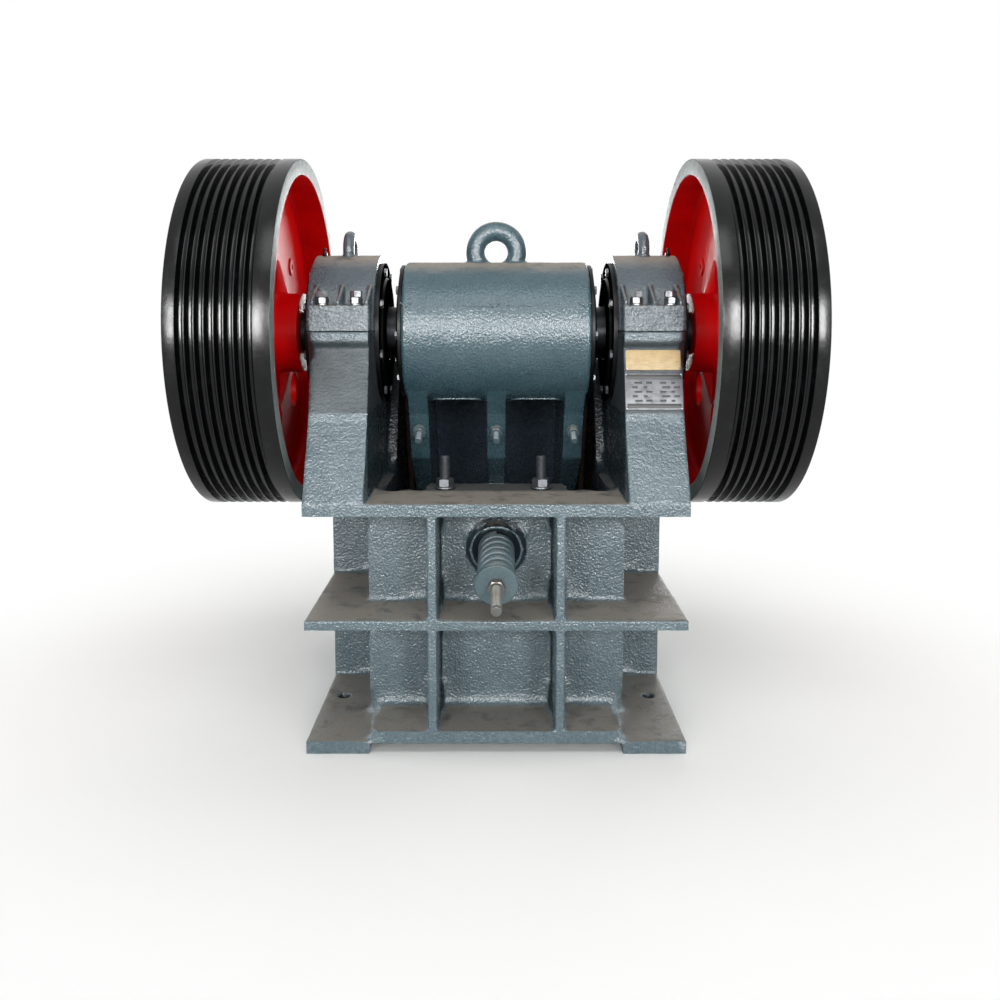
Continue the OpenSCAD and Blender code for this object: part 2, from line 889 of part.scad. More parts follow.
block_h = 100;
wedge_top_t = 52;
wedge_bottom_t = 40;
block_face_y = shaft_y - toggle_rear_y + 14;
module toggle_block() {
    color("dimgray")
        across(-half_inside + 4, half_inside - 4)
            difference() {
                polygon([
                    [rear_in + wedge_bottom_t, shelf_z],
                    [block_face_y, shelf_z],
                    [block_face_y, shelf_z + block_h],
                    [rear_in + wedge_top_t, shelf_z + block_h]
                ]);
                translate([shaft_y - toggle_rear_y + toggle_r, toggle_rear_z])
                    circle(toggle_r + seat_gap);
                translate([shaft_y - toggle_rear_y + toggle_r, toggle_rear_z - toggle_r - seat_gap])
                    square([30, 2 * toggle_r + 2 * seat_gap]);
            }
}

module adjusting_wedge() {
    color("dimgray")
        across(-half_inside + 4, half_inside - 4)
            polygon([
                [rear_in, shelf_z],
                [rear_in + wedge_bottom_t, shelf_z],
                [rear_in + wedge_top_t, shelf_z + block_h],
                [rear_in, shelf_z + block_h]
            ]);
}

// Adjusting studs draw the wedge up against the flange.
adjusting_nut_af = 46;
adjusting_nut_h = 24;
adjusting_washer_d = 60;
adjusting_washer_t = 5;
adjusting_stud_above = 95;
module adjusting_studs() {
    color("silver")
        for (x = adjusting_stud_x())
            translate([x, rear_in + stud_inset, 0]) {
                translate([0, 0, shelf_z + block_h])
                    cylinder(h = upper_flange_top + adjusting_stud_above - shelf_z - block_h,
                             d = adjusting_stud_d);
                translate([0, 0, upper_flange_top + seat_gap]) {
                    cylinder(h = adjusting_washer_t, d = adjusting_washer_d);
                    translate([0, 0, adjusting_washer_t])
                        hex_nut(adjusting_nut_af, adjusting_nut_h);
                }
            }
}

// Tension rod: a fork round the middle rib, a long rod, nuts outside the spring.
fork_t = 16;
fork_gap = 0.5;
fork_r = rod_eye_r - 6;
fork_back = rod_eye_r + 8;
fork_bridge_t = 20;
module tension_rod() {
    fork_in = pitman_rib_t / 2 + fork_gap;
    fork_end = fork_back + fork_bridge_t;
    color("gray") {
        difference() {
            union() {
                both_sides()
                    across(fork_in, fork_in + fork_t)
                        translate([rod_eye_y, rod_eye_z])
                            rotate(rod_slope) {
                                circle(fork_r);
                                translate([-fork_end, -fork_r])
                                    square([fork_end, 2 * fork_r]);
                            }
                across(-fork_in - fork_t, fork_in + fork_t)
                    translate([rod_eye_y, rod_eye_z])
                        rotate(rod_slope)
                            translate([-fork_end, -fork_r])
                                square([fork_bridge_t, 2 * fork_r]);
            }
            across(-fork_in - fork_t - cut, fork_in + fork_t + cut)
                translate([rod_eye_y, rod_eye_z])
                    circle(rod_pin_d / 2 + run_gap);
        }
        on_rod_line()
            translate([0, 0, -rod_back_length()])
                cylinder(h = rod_back_length() + rod_tail, d = rod_d);
    }
}

rod_tail = 392;
function rod_back_length() = (rod_eye_y - rear_out) / cos(rod_slope) - fork_back;

module rod_pin() {
    half_pin = pitman_rib_t / 2 + fork_gap + fork_t + 8;
    color("silver")
        across(-half_pin, half_pin)
            translate([rod_eye_y, rod_eye_z])
                circle(rod_pin_d / 2);
}

spring_washer_d = 116;
spring_washer_t = 12;
module spring_washer() {
    color("slategray")
        on_rod_line()
            translate([0, 0, spring_length + 2 * seat_gap])
                difference() {
                    cylinder(h = spring_washer_t, d = spring_washer_d);
                    translate([0, 0, -cut])
                        cylinder(h = spring_washer_t + 2 * cut, d = rod_d + 2 * run_gap);
                }
}

rod_nut_af = 41;
rod_nut_h = 22;
module rod_nuts() {
    color("silver")
        on_rod_line()
            translate([0, 0, spring_length + spring_washer_t + 3 * seat_gap])
                difference() {
                    hex_nut(rod_nut_af, rod_nut_h);
                    translate([0, 0, -cut])
                        cylinder(h = rod_nut_h + 2 * cut, d = rod_d + 2 * run_gap);
                }
}

// Compression spring with one closed turn at each end.
spring_turns = 7;
spring_steps = 20;
wire_sides = 8;
function closed_turn(t) = min(t, 1) + max(t - (spring_turns - 1), 0);
function open_turn(t) = min(max(t - 1, 0), spring_turns - 2);
function spring_rise(t) =
    let (wire = spring_wire_d + 0.4, open = spring_length - 3 * wire)
    wire / 2 + wire * closed_turn(t) + open * open_turn(t) / (spring_turns - 2);
module tension_spring() {
    r = (spring_d - spring_wire_d) / 2;
    rings = spring_turns * spring_steps;
    points = [
        for (i = [0:rings], k = [0:wire_sides - 1])
            let (t = i / spring_steps, a = 360 * t, b = 360 * k / wire_sides,
                 q = r + spring_wire_d / 2 * cos(b))
            [q * cos(a), q * sin(a), spring_rise(t) + spring_wire_d / 2 * sin(b)]
    ];
    faces = concat(
        [[for (k = [0:wire_sides - 1]) k]],
        [[for (k = [wire_sides - 1:-1:0]) rings * wire_sides + k]],
        [for (i = [0:rings - 1], k = [0:wire_sides - 1])
            let (n = (k + 1) % wire_sides, a = i * wire_sides)
            [a + k, a + wire_sides + k, a + wire_sides + n, a + n]]
    );
    color("gray")
        on_rod_line()
            translate([0, 0, seat_gap])
                polyhedron(points, faces);
}

// Rotor

web_x0 = rim_inner + web_inset;
rim_outer = rim_inner + rim_width;
hub_inner = rim_inner + 14;
hub_outer = rim_outer - 12;

module groove_outline() {
    flank = groove_depth * tan(19);
    polygon([
        [wheel_d / 2 + cut, -groove_width / 2],
        [wheel_d / 2, -groove_width / 2],
        [wheel_d / 2 - groove_depth, -groove_width / 2 + flank],
        [wheel_d / 2 - groove_depth, groove_width / 2 - flank],
        [wheel_d / 2, groove_width / 2],
        [wheel_d / 2 + cut, groove_width / 2]
    ]);
}

// Two gussets brace the hub against the web on its inner side.
hub_gusset_t = 25;
hub_gusset_r = 225;
hub_gusset_x = hub_inner + 45;
hub_gusset_bury = 6;
module hub_gussets() {
    for (s = [-1, 1])
        translate([0, shaft_y - hub_gusset_t / 2, shaft_z])
            mirror([0, 0, s > 0 ? 0 : 1])
                rotate([-90, 0, 0])
                    mirror([0, 1, 0])
                        linear_extrude(hub_gusset_t)
                            polygon([
                                [hub_gusset_x, hub_d / 2 - hub_gusset_bury],
                                [web_x0 + cut, hub_d / 2 - hub_gusset_bury],
                                [web_x0 + cut, hub_gusset_r],
                                [web_x0, hub_gusset_r]
                            ]);
}

// Section of a wheel through the shaft line: rim with its grooves, web and hub.
module wheel_section() {
    difference() {
        union() {
            translate([wheel_d / 2 - rim_t, rim_inner])
                square([rim_t, rim_width]);
            translate([0, web_x0])
                square([wheel_d / 2 - cut, web_t]);
            translate([0, hub_inner])
                square([hub_d / 2, hub_outer - hub_inner]);
        }
        translate([-cut, 0])
            square([wheel_seat_d / 2 + cut, rim_outer + cut]);
        for (i = [0:groove_count - 1])
            translate([0, rim_outer - groove_land - groove_width / 2 - i * groove_pitch])
                groove_outline();
    }
}

// Puts the children on the inner face of the web, Z along the shaft, at an angle from +Y.
module at_web(angle) {
    translate([web_x0, shaft_y, shaft_z])
        rotate([angle, 0, 0])
            translate([0, web_hole_r, 0])
                rotate([0, 90, 0])
                    children();
}

// The balancing holes are all below the shaft. Two small tapped bosses for a wheel puller are
// above it.
balance_angle = -100;
puller_hole_d = 20;
puller_boss_d = 56;
puller_boss_h = 6;
puller_angles = [50, 130];
module belt_wheel() {
    hub_gussets();
    difference() {
        union() {
            about_shaft()
                wheel_section();
            for (a = puller_angles)
                at_web(a)
                    translate([0, 0, -puller_boss_h])
                        cylinder(h = puller_boss_h + web_t / 2, d = puller_boss_d);
        }
        for (i = [0:web_hole_count - 1])
            at_web(balance_angle + (i - (web_hole_count - 1) / 2) * web_hole_step)
                translate([0, 0, -cut])
                    cylinder(h = web_t + 2 * cut, d = web_hole_d);
        for (a = puller_angles)
            at_web(a)
                translate([0, 0, -puller_boss_h - cut])
                    cylinder(h = puller_boss_h + web_t + 2 * cut, d = puller_hole_d);
    }
}

module belt_wheel_left() {
    color("crimson")
        mirror([1, 0, 0])
            belt_wheel();
}

module belt_wheel_right() {
    color("crimson")
        belt_wheel();
}

eccentric_end = 10;
module eccentric_shaft() {
    seat_end = rim_outer - 14;
    color("silver") {
        about_shaft()
            union()
                for (s = [-1, 1]) {
                    translate([0, s > 0 ? half_barrel : -housing_outer - outer_cover_t])
                        square([journal_d / 2, housing_outer + outer_cover_t - half_barrel]);
                    translate([0, s > 0 ? housing_outer : -seat_end])
                        square([wheel_seat_d / 2 - run_gap, seat_end - housing_outer]);
                }
        on_eccentric()
            drum(-half_barrel - eccentric_end, half_barrel + eccentric_end, eccentric_d / 2);
    }
}

module shaft_end_plate() {
    drum(rim_outer - 12, rim_outer, wheel_seat_d / 2 + 15);
}

module shaft_end_plate_left() {
    color("silver")
        mirror([1, 0, 0])
            shaft_end_plate();
}

module shaft_end_plate_right() {
    color("silver")
        shaft_end_plate();
}

// Small pieces on the pedestals and caps

plate_t = 2;
nameplate_z = [shaft_z - 208, shaft_z - 105];
notice_plate_z = [shaft_z - 98, shaft_z - 42];
function pedestal_face_y(z) =
    let (y1 = shaft_y - half_cap + pedestal_waist)
    pedestal_bend_y + (y1 - pedestal_bend_y)
                      * (z - pedestal_bend_z) / (pedestal_waist_z - pedestal_bend_z);
module pedestal_plate(z, margin) {
    across(pedestal_inner + margin, half_flange - margin)
        polygon([
            [pedestal_face_y(z[0]) - seat_gap, z[0]],
            [pedestal_face_y(z[0]) - seat_gap - plate_t, z[0]],
            [pedestal_face_y(z[1]) - seat_gap - plate_t, z[1]],
            [pedestal_face_y(z[1]) - seat_gap, z[1]]
        ]);
}

module nameplate() {
    color("silver")
        pedestal_plate(nameplate_z, 1);
}

module notice_plate() {
    color("wheat")
        pedestal_plate(notice_plate_z, 5);
}

grease_fitting_angle = 10;
grease_fitting_inset = 25;
module grease_fittings() {
    color("silver")
        both_sides()
            translate([housing_outer - grease_fitting_inset, shaft_y, shaft_z])
                rotate([grease_fitting_angle, 0, 0])
                    translate([0, 0, housing_r + run_gap]) {
                        cylinder(h = 14, d = 12, $fn = 6);
                        cylinder(h = 24, d = 8);
                    }
}

side_wall_left();
side_wall_right();
rear_wall();
front_wall();
bearing_cap_left();
bearing_cap_right();
cap_studs_left();
cap_studs_right();
main_bearing_left();
main_bearing_right();
bearing_covers_left();
bearing_covers_right();
fixed_jaw_plate();
cheek_plate_left();
cheek_plate_right();
toggle_block();
adjusting_wedge();
adjusting_studs();
toggle_plate();
nameplate();
notice_plate();
grease_fittings();
eccentric_shaft();
belt_wheel_left();
belt_wheel_right();
shaft_end_plate_left();
shaft_end_plate_right();
pitman();
swing_jaw_plate();
jaw_bolts();
pitman_cover_left();
pitman_cover_right();
pitman_bearing_left();
pitman_bearing_right();
pitman_toggle_seat();
tension_rod();
rod_pin();
spring_washer();
rod_nuts();
tension_spring();
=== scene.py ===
# Single-toggle jaw crusher, seen from the toggle end. Every section makes one piece of the
# machine, or one group of like pieces, in the order in which they are put together.
import math

import bpy
import numpy as np
from mathutils import Matrix, Vector


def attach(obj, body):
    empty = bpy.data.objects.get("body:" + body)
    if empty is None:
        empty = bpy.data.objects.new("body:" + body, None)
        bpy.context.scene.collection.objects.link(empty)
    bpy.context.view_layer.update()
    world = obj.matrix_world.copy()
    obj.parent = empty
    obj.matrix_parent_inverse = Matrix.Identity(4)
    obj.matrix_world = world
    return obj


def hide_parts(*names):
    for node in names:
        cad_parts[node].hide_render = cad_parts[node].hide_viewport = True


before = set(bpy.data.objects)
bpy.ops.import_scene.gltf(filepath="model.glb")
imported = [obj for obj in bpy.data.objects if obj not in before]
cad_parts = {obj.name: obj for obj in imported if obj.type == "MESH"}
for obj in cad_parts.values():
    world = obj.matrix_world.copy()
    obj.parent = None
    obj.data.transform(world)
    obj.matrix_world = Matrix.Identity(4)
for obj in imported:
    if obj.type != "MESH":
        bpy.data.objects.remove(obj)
scene = bpy.context.scene
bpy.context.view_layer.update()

# Camera: it stands behind the toggle end, a little above the shaft, and looks slightly down.
# Its place, lens and shift come from the ellipses of the two wheels.
camera_data = bpy.data.cameras.new("camera")
camera_data.lens = 34.42
camera_data.shift_x = 0.0037
camera_data.shift_y = -0.0951
camera_data.clip_end = 60
camera = bpy.data.objects.new("camera", camera_data)
camera.location = (0, -3.2276, 1.2206)
camera.rotation_euler = (math.radians(84.328), 0, 0)
scene.collection.objects.link(camera)
scene.camera = camera
scene.view_settings.view_transform = "Standard"

# Studio light: three upright softboxes behind the camera, which stand where the barrel and
# the two wheels mirror them, a wide one above, and large ones behind and at the sides.
# The three glow panels are bright but lie only in the gloss, as lamps behind a screen do.
SOFTBOXES = [
    # name, place, aims at, width, height, watts, falls on matt surfaces too
    ("softbox_barrel", (0.0, -5.4, 2.1), (0, -0.3, 1.3), 1.6, 1.1, 50, True),
    ("softbox_left_wheel", (-2.1, -5.4, 1.95), (-0.7, -0.3, 1.2), 0.95, 1.8, 82, True),
    ("softbox_right_wheel", (2.1, -5.4, 1.95), (0.7, -0.3, 1.2), 0.95, 1.8, 82, True),
    ("glow_barrel", (0.0, -5.35, 2.1), (0, -0.3, 1.3), 1.6, 0.8, 70, False),
    ("glow_left_wheel", (-2.1, -5.35, 1.95), (-0.7, -0.3, 1.2), 0.95, 1.8, 230, False),
    ("glow_right_wheel", (2.1, -5.35, 1.95), (0.7, -0.3, 1.2), 0.95, 1.8, 230, False),
    ("softbox_top", (0.0, -2.5, 4.0), (0, -0.4, 0.7), 2.8, 1.5, 52, True),
    ("softbox_rear", (0.6, 5.6, 1.5), (0, 0, 0.7), 4.0, 1.8, 270, True),
    ("softbox_left", (-4.8, 1.2, 2.2), (0, 0.2, 0.6), 2.6, 2.2, 95, True),
    ("softbox_right", (4.8, 1.2, 2.2), (0, 0.2, 0.6), 2.6, 2.2, 95, True),
]
for name, place, target, width, height, watts, matt_too in SOFTBOXES:
    light_data = bpy.data.lights.new(name, "AREA")
    light_data.shape = "RECTANGLE"
    light_data.size, light_data.size_y = width, height
    light_data.energy = watts
    light = bpy.data.objects.new(name, light_data)
    light.location = place
    aim = Vector(target) - Vector(place)
    light.rotation_euler = aim.to_track_quat("-Z", "Y").to_euler()
    light.visible_diffuse = matt_too
    scene.collection.objects.link(light)


def linear(code):
    """An sRGB hex colour as linear RGBA."""
    parts = [int(code[i:i + 2], 16) / 255 for i in (1, 3, 5)]
    return [p / 12.92 if p <= 0.04045 else ((p + 0.055) / 1.055) ** 2.4 for p in parts] + [1.0]


def add_node(tree, kind, inputs=None, **settings):
    """Adds a node, sets its properties, and fills its inputs with values or with sockets."""
    node = tree.nodes.new("ShaderNode" + kind)
    for key, value in settings.items():
        setattr(node, key, value)
    for key, value in (inputs or {}).items():
        if isinstance(value, bpy.types.NodeSocket):
            tree.links.new(value, node.inputs[key])
        else:
            node.inputs[key].default_value = value
    return node


def seen_directly(tree):
    """1 for rays that come straight from the camera, from a mirror or through glass."""
    rays = add_node(tree, "LightPath").outputs
    glossy = add_node(tree, "Math", {0: rays["Is Camera Ray"], 1: rays["Is Glossy Ray"]},
                      operation="MAXIMUM").outputs[0]
    return add_node(tree, "Math", {0: glossy, 1: rays["Is Transmission Ray"]},
                    operation="MAXIMUM").outputs[0]


# World: white where it is seen, softer where it lights the machine.
world = bpy.data.worlds.new("studio")
scene.world = world
world.use_nodes = True
tree = world.node_tree
strength = add_node(tree, "MapRange", {"Value": seen_directly(tree), "To Min": 0.25, "To Max": 1.0})
tree.links.new(strength.outputs[0], tree.nodes["Background"].inputs["Strength"])
tree.nodes["Background"].inputs["Color"].default_value = (1, 1, 1, 1)

# Floor: a plain pale studio floor, which takes the shadow and fades to the white behind it.
bpy.ops.object.select_all(action="DESELECT")
bpy.ops.mesh.primitive_plane_add(size=30)
floor = bpy.context.object
floor.name = "floor"
floor_paint = bpy.data.materials.new("matt white floor")
floor_paint.use_nodes = True
tree = floor_paint.node_tree
shader = tree.nodes["Principled BSDF"]
shader.inputs["Base Color"].default_value = linear("#f2f2f0")
shader.inputs["Roughness"].default_value = 0.9
shader.inputs["Specular IOR Level"].default_value = 0.0
spot = add_node(tree, "TexCoord").outputs["Object"]
distance = add_node(tree, "VectorMath", {0: spot}, operation="LENGTH").outputs["Value"]
fade = add_node(tree, "MapRange", {"Value": distance, "From Min": 0.9, "From Max": 2.3},
                interpolation_type="SMOOTHSTEP").outputs[0]
white = add_node(tree, "Emission", {"Color": (1, 1, 1, 1), "Strength": 1.0})
share = add_node(tree, "Math", {0: fade, 1: seen_directly(tree)}, operation="MULTIPLY").outputs[0]
surface = add_node(tree, "MixShader", {0: share, 1: shader.outputs[0], 2: white.outputs[0]})
tree.links.new(surface.outputs[0], tree.nodes["Material Output"].inputs["Surface"])
floor.data.materials.append(floor_paint)


# Frame casting: side walls, end walls, ribs, flanges, feet and bearing pedestals in one piece.
# It is cast steel from a sand mould, so inner corners are full and edges only just broken,
# and it is brushed with blue-grey enamel over a pebbled skin.
def deselect():
    """Leaves edit mode, with nothing selected."""
    if bpy.context.object and bpy.context.object.mode != "OBJECT":
        bpy.ops.object.mode_set(mode="OBJECT")
    bpy.ops.object.select_all(action="DESELECT")


def pick(*pieces):
    """Makes these pieces the only ones selected, the first of them active."""
    deselect()
    for piece in pieces:
        piece.select_set(True)
    bpy.context.view_layer.objects.active = pieces[0]


def modify(piece, kind, **settings):
    """Gives a piece one modifier and applies it."""
    pick(piece)
    modifier = piece.modifiers.new(kind.lower(), kind)
    for key, value in settings.items():
        setattr(modifier, key, value)
    bpy.ops.object.modifier_apply(modifier=modifier.name)


def blank_of(name, *nodes):
    """One blank for a casting: copies of the CAD solids, each merged, then joined."""
    blanks = []
    for node in nodes:
        blank = bpy.data.objects.new(name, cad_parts[node].data.copy())
        scene.collection.objects.link(blank)
        blank.data.materials.clear()
        blanks.append(blank)
    pick(*blanks)
    bpy.ops.object.mode_set(mode="EDIT")
    bpy.ops.mesh.select_all(action="SELECT")
    bpy.ops.mesh.remove_doubles(threshold=1e-6)
    bpy.ops.object.mode_set(mode="OBJECT")
    if len(blanks) > 1:
        bpy.ops.object.join()
    return blanks[0]


def inner_corners(piece, grain, rings, sharp_below):
    """A vertex group of the hollow corners above a height, and this many rings of vertices
    round them."""
    mesh = piece.data
    count = len(mesh.vertices)
    place = np.empty(3 * count, np.float32)
    mesh.vertices.foreach_get("co", place)
    place = place.reshape(-1, 3)
    normal = np.empty(3 * count, np.float32)
    mesh.vertex_normals.foreach_get("vector", normal)
    normal = normal.reshape(-1, 3)
    edges = np.empty(2 * len(mesh.edges), np.int32)
    mesh.edges.foreach_get("vertices", edges)
    edges = edges.reshape(-1, 2)
    ends = np.concatenate([edges, edges[:, ::-1]])
    number = np.maximum(np.bincount(ends[:, 0], minlength=count), 1)
    middle = [np.bincount(ends[:, 0], place[ends[:, 1], axis], count) / number
              for axis in range(3)]
    hollow = ((np.stack(middle, 1) - place) * normal).sum(1) / grain
    chosen = hollow > 0.14
    for _ in range(rings):
        chosen[edges[chosen[edges].any(1)].ravel()] = True
    chosen &= place[:, 2] > sharp_below
    group = piece.vertex_groups.new(name="inner_corners")
    group.add(np.nonzero(chosen)[0].tolist(), 1.0, "REPLACE")
    return group.name


def cast_skin(piece, grain, fillet, triangles, waviness=0.0015, sharp_below=0.0):
    """Turns a blank into a casting: one closed skin, full inner corners, uneven faces. Corners
    below a height stay sharp."""
    modify(piece, "REMESH", mode="VOXEL", voxel_size=grain)
    modify(piece, "SMOOTH", factor=0.5, iterations=2)
    rings = max(2, round(2.0 * fillet / grain))
    passes = max(2, round(2.3 * (fillet / grain) ** 2))
    group = inner_corners(piece, grain, rings, sharp_below)
    modify(piece, "SMOOTH", factor=0.5, iterations=passes, vertex_group=group)
    piece.vertex_groups.clear()
    sand = bpy.data.textures.new("mould face", "CLOUDS")
    sand.noise_scale = 0.045
    sand.noise_depth = 1
    modify(piece, "DISPLACE", texture=sand, texture_coords="OBJECT", strength=waviness,
           mid_level=0.9, direction="NORMAL")
    ratio = triangles / (2 * len(piece.data.polygons))
    if ratio < 1:
        modify(piece, "DECIMATE", ratio=ratio)
    pick(piece)
    bpy.ops.object.shade_smooth_by_angle(angle=math.radians(50))


def new_finish(name):
    """A new material with its node tree, its shader and the outputs of its coordinates."""
    finish = bpy.data.materials.new(name)
    finish.use_nodes = True
    tree = finish.node_tree
    where = add_node(tree, "TexCoord").outputs
    return finish, tree, tree.nodes["Principled BSDF"], where


def cast_enamel(name, body, pale, grime, dust, relief=0.0035, inside=None, rippled=None,
                shaded=None, gloss=0.2, specular=0.55):
    """Enamel brushed over sand-cast steel: blue-grey with thin pale patches, a pebbled skin
    that glints, grime in its hollows, and brown dust on what faces up. Inside says where the
    coat is darkened with grease and painted shade: the half width, the rearmost y and the
    foremost y of the room. Rippled is the height from which brush ripples show, and shaded
    the heights between which the coat on the toggle side is darkened in patches as painted
    shade."""
    finish, tree, shader, where = new_finish(name)
    place = where["Object"]
    # Patches 150 mm across, where the coat is thinner, and 20 mm mottle in them.
    patches = add_node(tree, "TexNoise", {"Vector": place, "Scale": 6.5, "Detail": 5,
                                          "Roughness": 0.62}).outputs[0]
    mottle = add_node(tree, "TexNoise", {"Vector": place, "Scale": 46, "Detail": 4,
                                         "Roughness": 0.7}).outputs[0]
    # Grit of the sand mould, 6 mm across, and brush ripples 14 mm high that run level.
    pebbles = add_node(tree, "TexNoise", {"Vector": place, "Scale": 150, "Detail": 2,
                                          "Roughness": 0.5}).outputs[0]
    flat = add_node(tree, "Mapping", {"Vector": place, "Scale": (16, 16, 75)}).outputs[0]
    ripples = add_node(tree, "TexNoise", {"Vector": flat, "Scale": 1, "Detail": 3,
                                          "Distortion": 0.8}).outputs[0]
    thin = add_node(tree, "MapRange", {"Value": patches, "From Min": 0.4, "From Max": 0.7,
                                       "To Max": 0.6})
    coat = add_node(tree, "Mix", {0: thin.outputs[0], 6: linear(body), 7: linear(pale)},
                    data_type="RGBA").outputs[2]
    # Grime fills the hollows between the grains, and the grains' tops are rubbed paler.
    hollow = add_node(tree, "MapRange", {"Value": pebbles, "From Min": 0.46, "From Max": 0.3,
                                         "To Max": 0.35}).outputs[0]
    coat = add_node(tree, "Mix", {0: hollow, 6: coat, 7: linear(grime)},
                    data_type="RGBA").outputs[2]
    rubbed = add_node(tree, "MapRange", {"Value": pebbles, "From Min": 0.57, "From Max": 0.7,
                                         "To Max": 0.35}).outputs[0]
    coat = add_node(tree, "Mix", {0: rubbed, 6: coat, 7: linear(pale)},
                    data_type="RGBA").outputs[2]
    spot = add_node(tree, "SeparateXYZ", {0: place}).outputs
    # Painted shade: between the shaded heights, on the toggle side only, the coat is darkened in
    # patches.
    if shaded:
        low, high = shaded
        above = add_node(tree, "MapRange", {"Value": spot["Z"], "From Min": low,
                                            "From Max": low + 0.006}).outputs[0]
        under = add_node(tree, "MapRange", {"Value": spot["Z"], "From Min": high + 0.006,
                                            "From Max": high}).outputs[0]
        shade_patches = add_node(tree, "MapRange", {"Value": patches, "From Min": 0.35, "From Max": 0.6,
                                             "To Min": 0.95, "To Max": 0.75}).outputs[0]
        rear = add_node(tree, "MapRange", {"Value": spot["Y"], "From Min": 0.02,
                                           "From Max": -0.02}).outputs[0]
        band = add_node(tree, "Math", {0: above, 1: under}, operation="MULTIPLY").outputs[0]
        band = add_node(tree, "Math", {0: band, 1: rear}, operation="MULTIPLY").outputs[0]
        band = add_node(tree, "Math", {0: band, 1: shade_patches}, operation="MULTIPLY").outputs[0]
        coat = add_node(tree, "Mix", {0: band, 6: coat, 7: linear("#1c262c")},
                        data_type="RGBA").outputs[2]
    # Dust lies where the surface faces up, with dark stains in it.
    up = add_node(tree, "SeparateXYZ", {0: where["Normal"]}).outputs["Z"]
    level = add_node(tree, "MapRange", {"Value": up, "From Min": 0.8, "From Max": 0.985},
                     interpolation_type="SMOOTHSTEP").outputs[0]
    stain = add_node(tree, "TexNoise", {"Vector": place, "Scale": 17, "Detail": 7,
                                        "Roughness": 0.66, "Distortion": 0.4}).outputs[0]
    stained = add_node(tree, "MapRange", {"Value": stain, "From Min": 0.52, "From Max": 0.68,
                                          "To Max": 0.85}).outputs[0]
    # Its colour is graded by height, darker low down and palest on the highest ledges.
    high = add_node(tree, "MapRange", {"Value": spot["Z"], "From Min": 0.1,
                                       "From Max": 0.8}).outputs[0]
    layer = add_node(tree, "Mix", {0: high, 6: linear(dust), 7: linear("#968c7f")},
                     data_type="RGBA").outputs[2]
    layer = add_node(tree, "Mix", {0: stained, 6: layer, 7: linear("#423c36")},
                     data_type="RGBA").outputs[2]
    cover = add_node(tree, "MapRange", {"Value": mottle, "From Min": 0.35, "From Max": 0.65,
                                        "To Min": 1.0, "To Max": 0.6}).outputs[0]
    dusty = add_node(tree, "Math", {0: level, 1: cover}, operation="MULTIPLY").outputs[0]
    coat = add_node(tree, "Mix", {0: dusty, 6: coat, 7: layer}, data_type="RGBA").outputs[2]
    # Grease and painted shade: the coat inside the crushing chamber is darkened.
    if inside:
        half_width, rearmost, foremost = inside
        off = add_node(tree, "Math", {0: spot["X"]}, operation="ABSOLUTE").outputs[0]
        within = add_node(tree, "MapRange", {"Value": off, "From Min": half_width + 0.003,
                                             "From Max": half_width - 0.003}).outputs[0]
        # On walls that face inwards the darkening reaches 100 mm further back.
        across = add_node(tree, "SeparateXYZ", {0: where["Normal"]}).outputs["X"]
        across = add_node(tree, "Math", {0: across}, operation="ABSOLUTE").outputs[0]
        inwards = add_node(tree, "MapRange", {"Value": across, "From Min": 0.6, "From Max": 0.8,
                                              "To Max": 0.1}).outputs[0]
        depth = add_node(tree, "Math", {0: spot["Y"], 1: inwards}, operation="ADD").outputs[0]
        behind = add_node(tree, "MapRange", {"Value": depth, "From Min": rearmost - 0.015,
                                             "From Max": rearmost + 0.015}).outputs[0]
        grease_and_shade = add_node(tree, "Math", {0: within, 1: behind}, operation="MULTIPLY").outputs[0]
        # It ends at the front wall, and the flanges' tops on the feed side have none.
        ahead = add_node(tree, "MapRange", {"Value": spot["Y"], "From Min": foremost + 0.003,
                                            "From Max": foremost - 0.003}).outputs[0]
        grease_and_shade = add_node(tree, "Math", {0: grease_and_shade, 1: ahead}, operation="MULTIPLY").outputs[0]
        feed_side = add_node(tree, "MapRange", {"Value": spot["Y"], "From Min": 0.0,
                                                "From Max": 0.05, "To Max": -1.0}).outputs[0]
        clean = add_node(tree, "Math", {0: level, 1: feed_side, 2: 1.0},
                         operation="MULTIPLY_ADD").outputs[0]
        grease_and_shade = add_node(tree, "Math", {0: grease_and_shade, 1: clean}, operation="MULTIPLY").outputs[0]
        grease_and_shade = add_node(tree, "Math", {0: grease_and_shade, 1: 0.85}, operation="MULTIPLY").outputs[0]
        coat = add_node(tree, "Mix", {0: grease_and_shade, 6: coat, 7: linear("#1b2227")},
                        data_type="RGBA").outputs[2]
    tree.links.new(coat, shader.inputs["Base Color"])
    shiny = add_node(tree, "MapRange", {"Value": mottle, "From Min": 0.3, "From Max": 0.7,
                                        "To Min": gloss, "To Max": gloss + 0.14}).outputs[0]
    rough = add_node(tree, "Mix", {0: dusty, 2: shiny, 3: 0.75}, data_type="FLOAT").outputs[0]
    if shaded:
        rough = add_node(tree, "Mix", {0: band, 2: rough, 3: 0.62}, data_type="FLOAT").outputs[0]
    tree.links.new(rough, shader.inputs["Roughness"])
    grit = pebbles
    if rippled is not None:
        brushed = add_node(tree, "MapRange", {"Value": spot["Z"], "From Min": rippled,
                                              "From Max": rippled + 0.08, "To Max": 0.8})
        grit = add_node(tree, "Math", {0: ripples, 1: brushed.outputs[0], 2: pebbles},
                        operation="MULTIPLY_ADD").outputs[0]
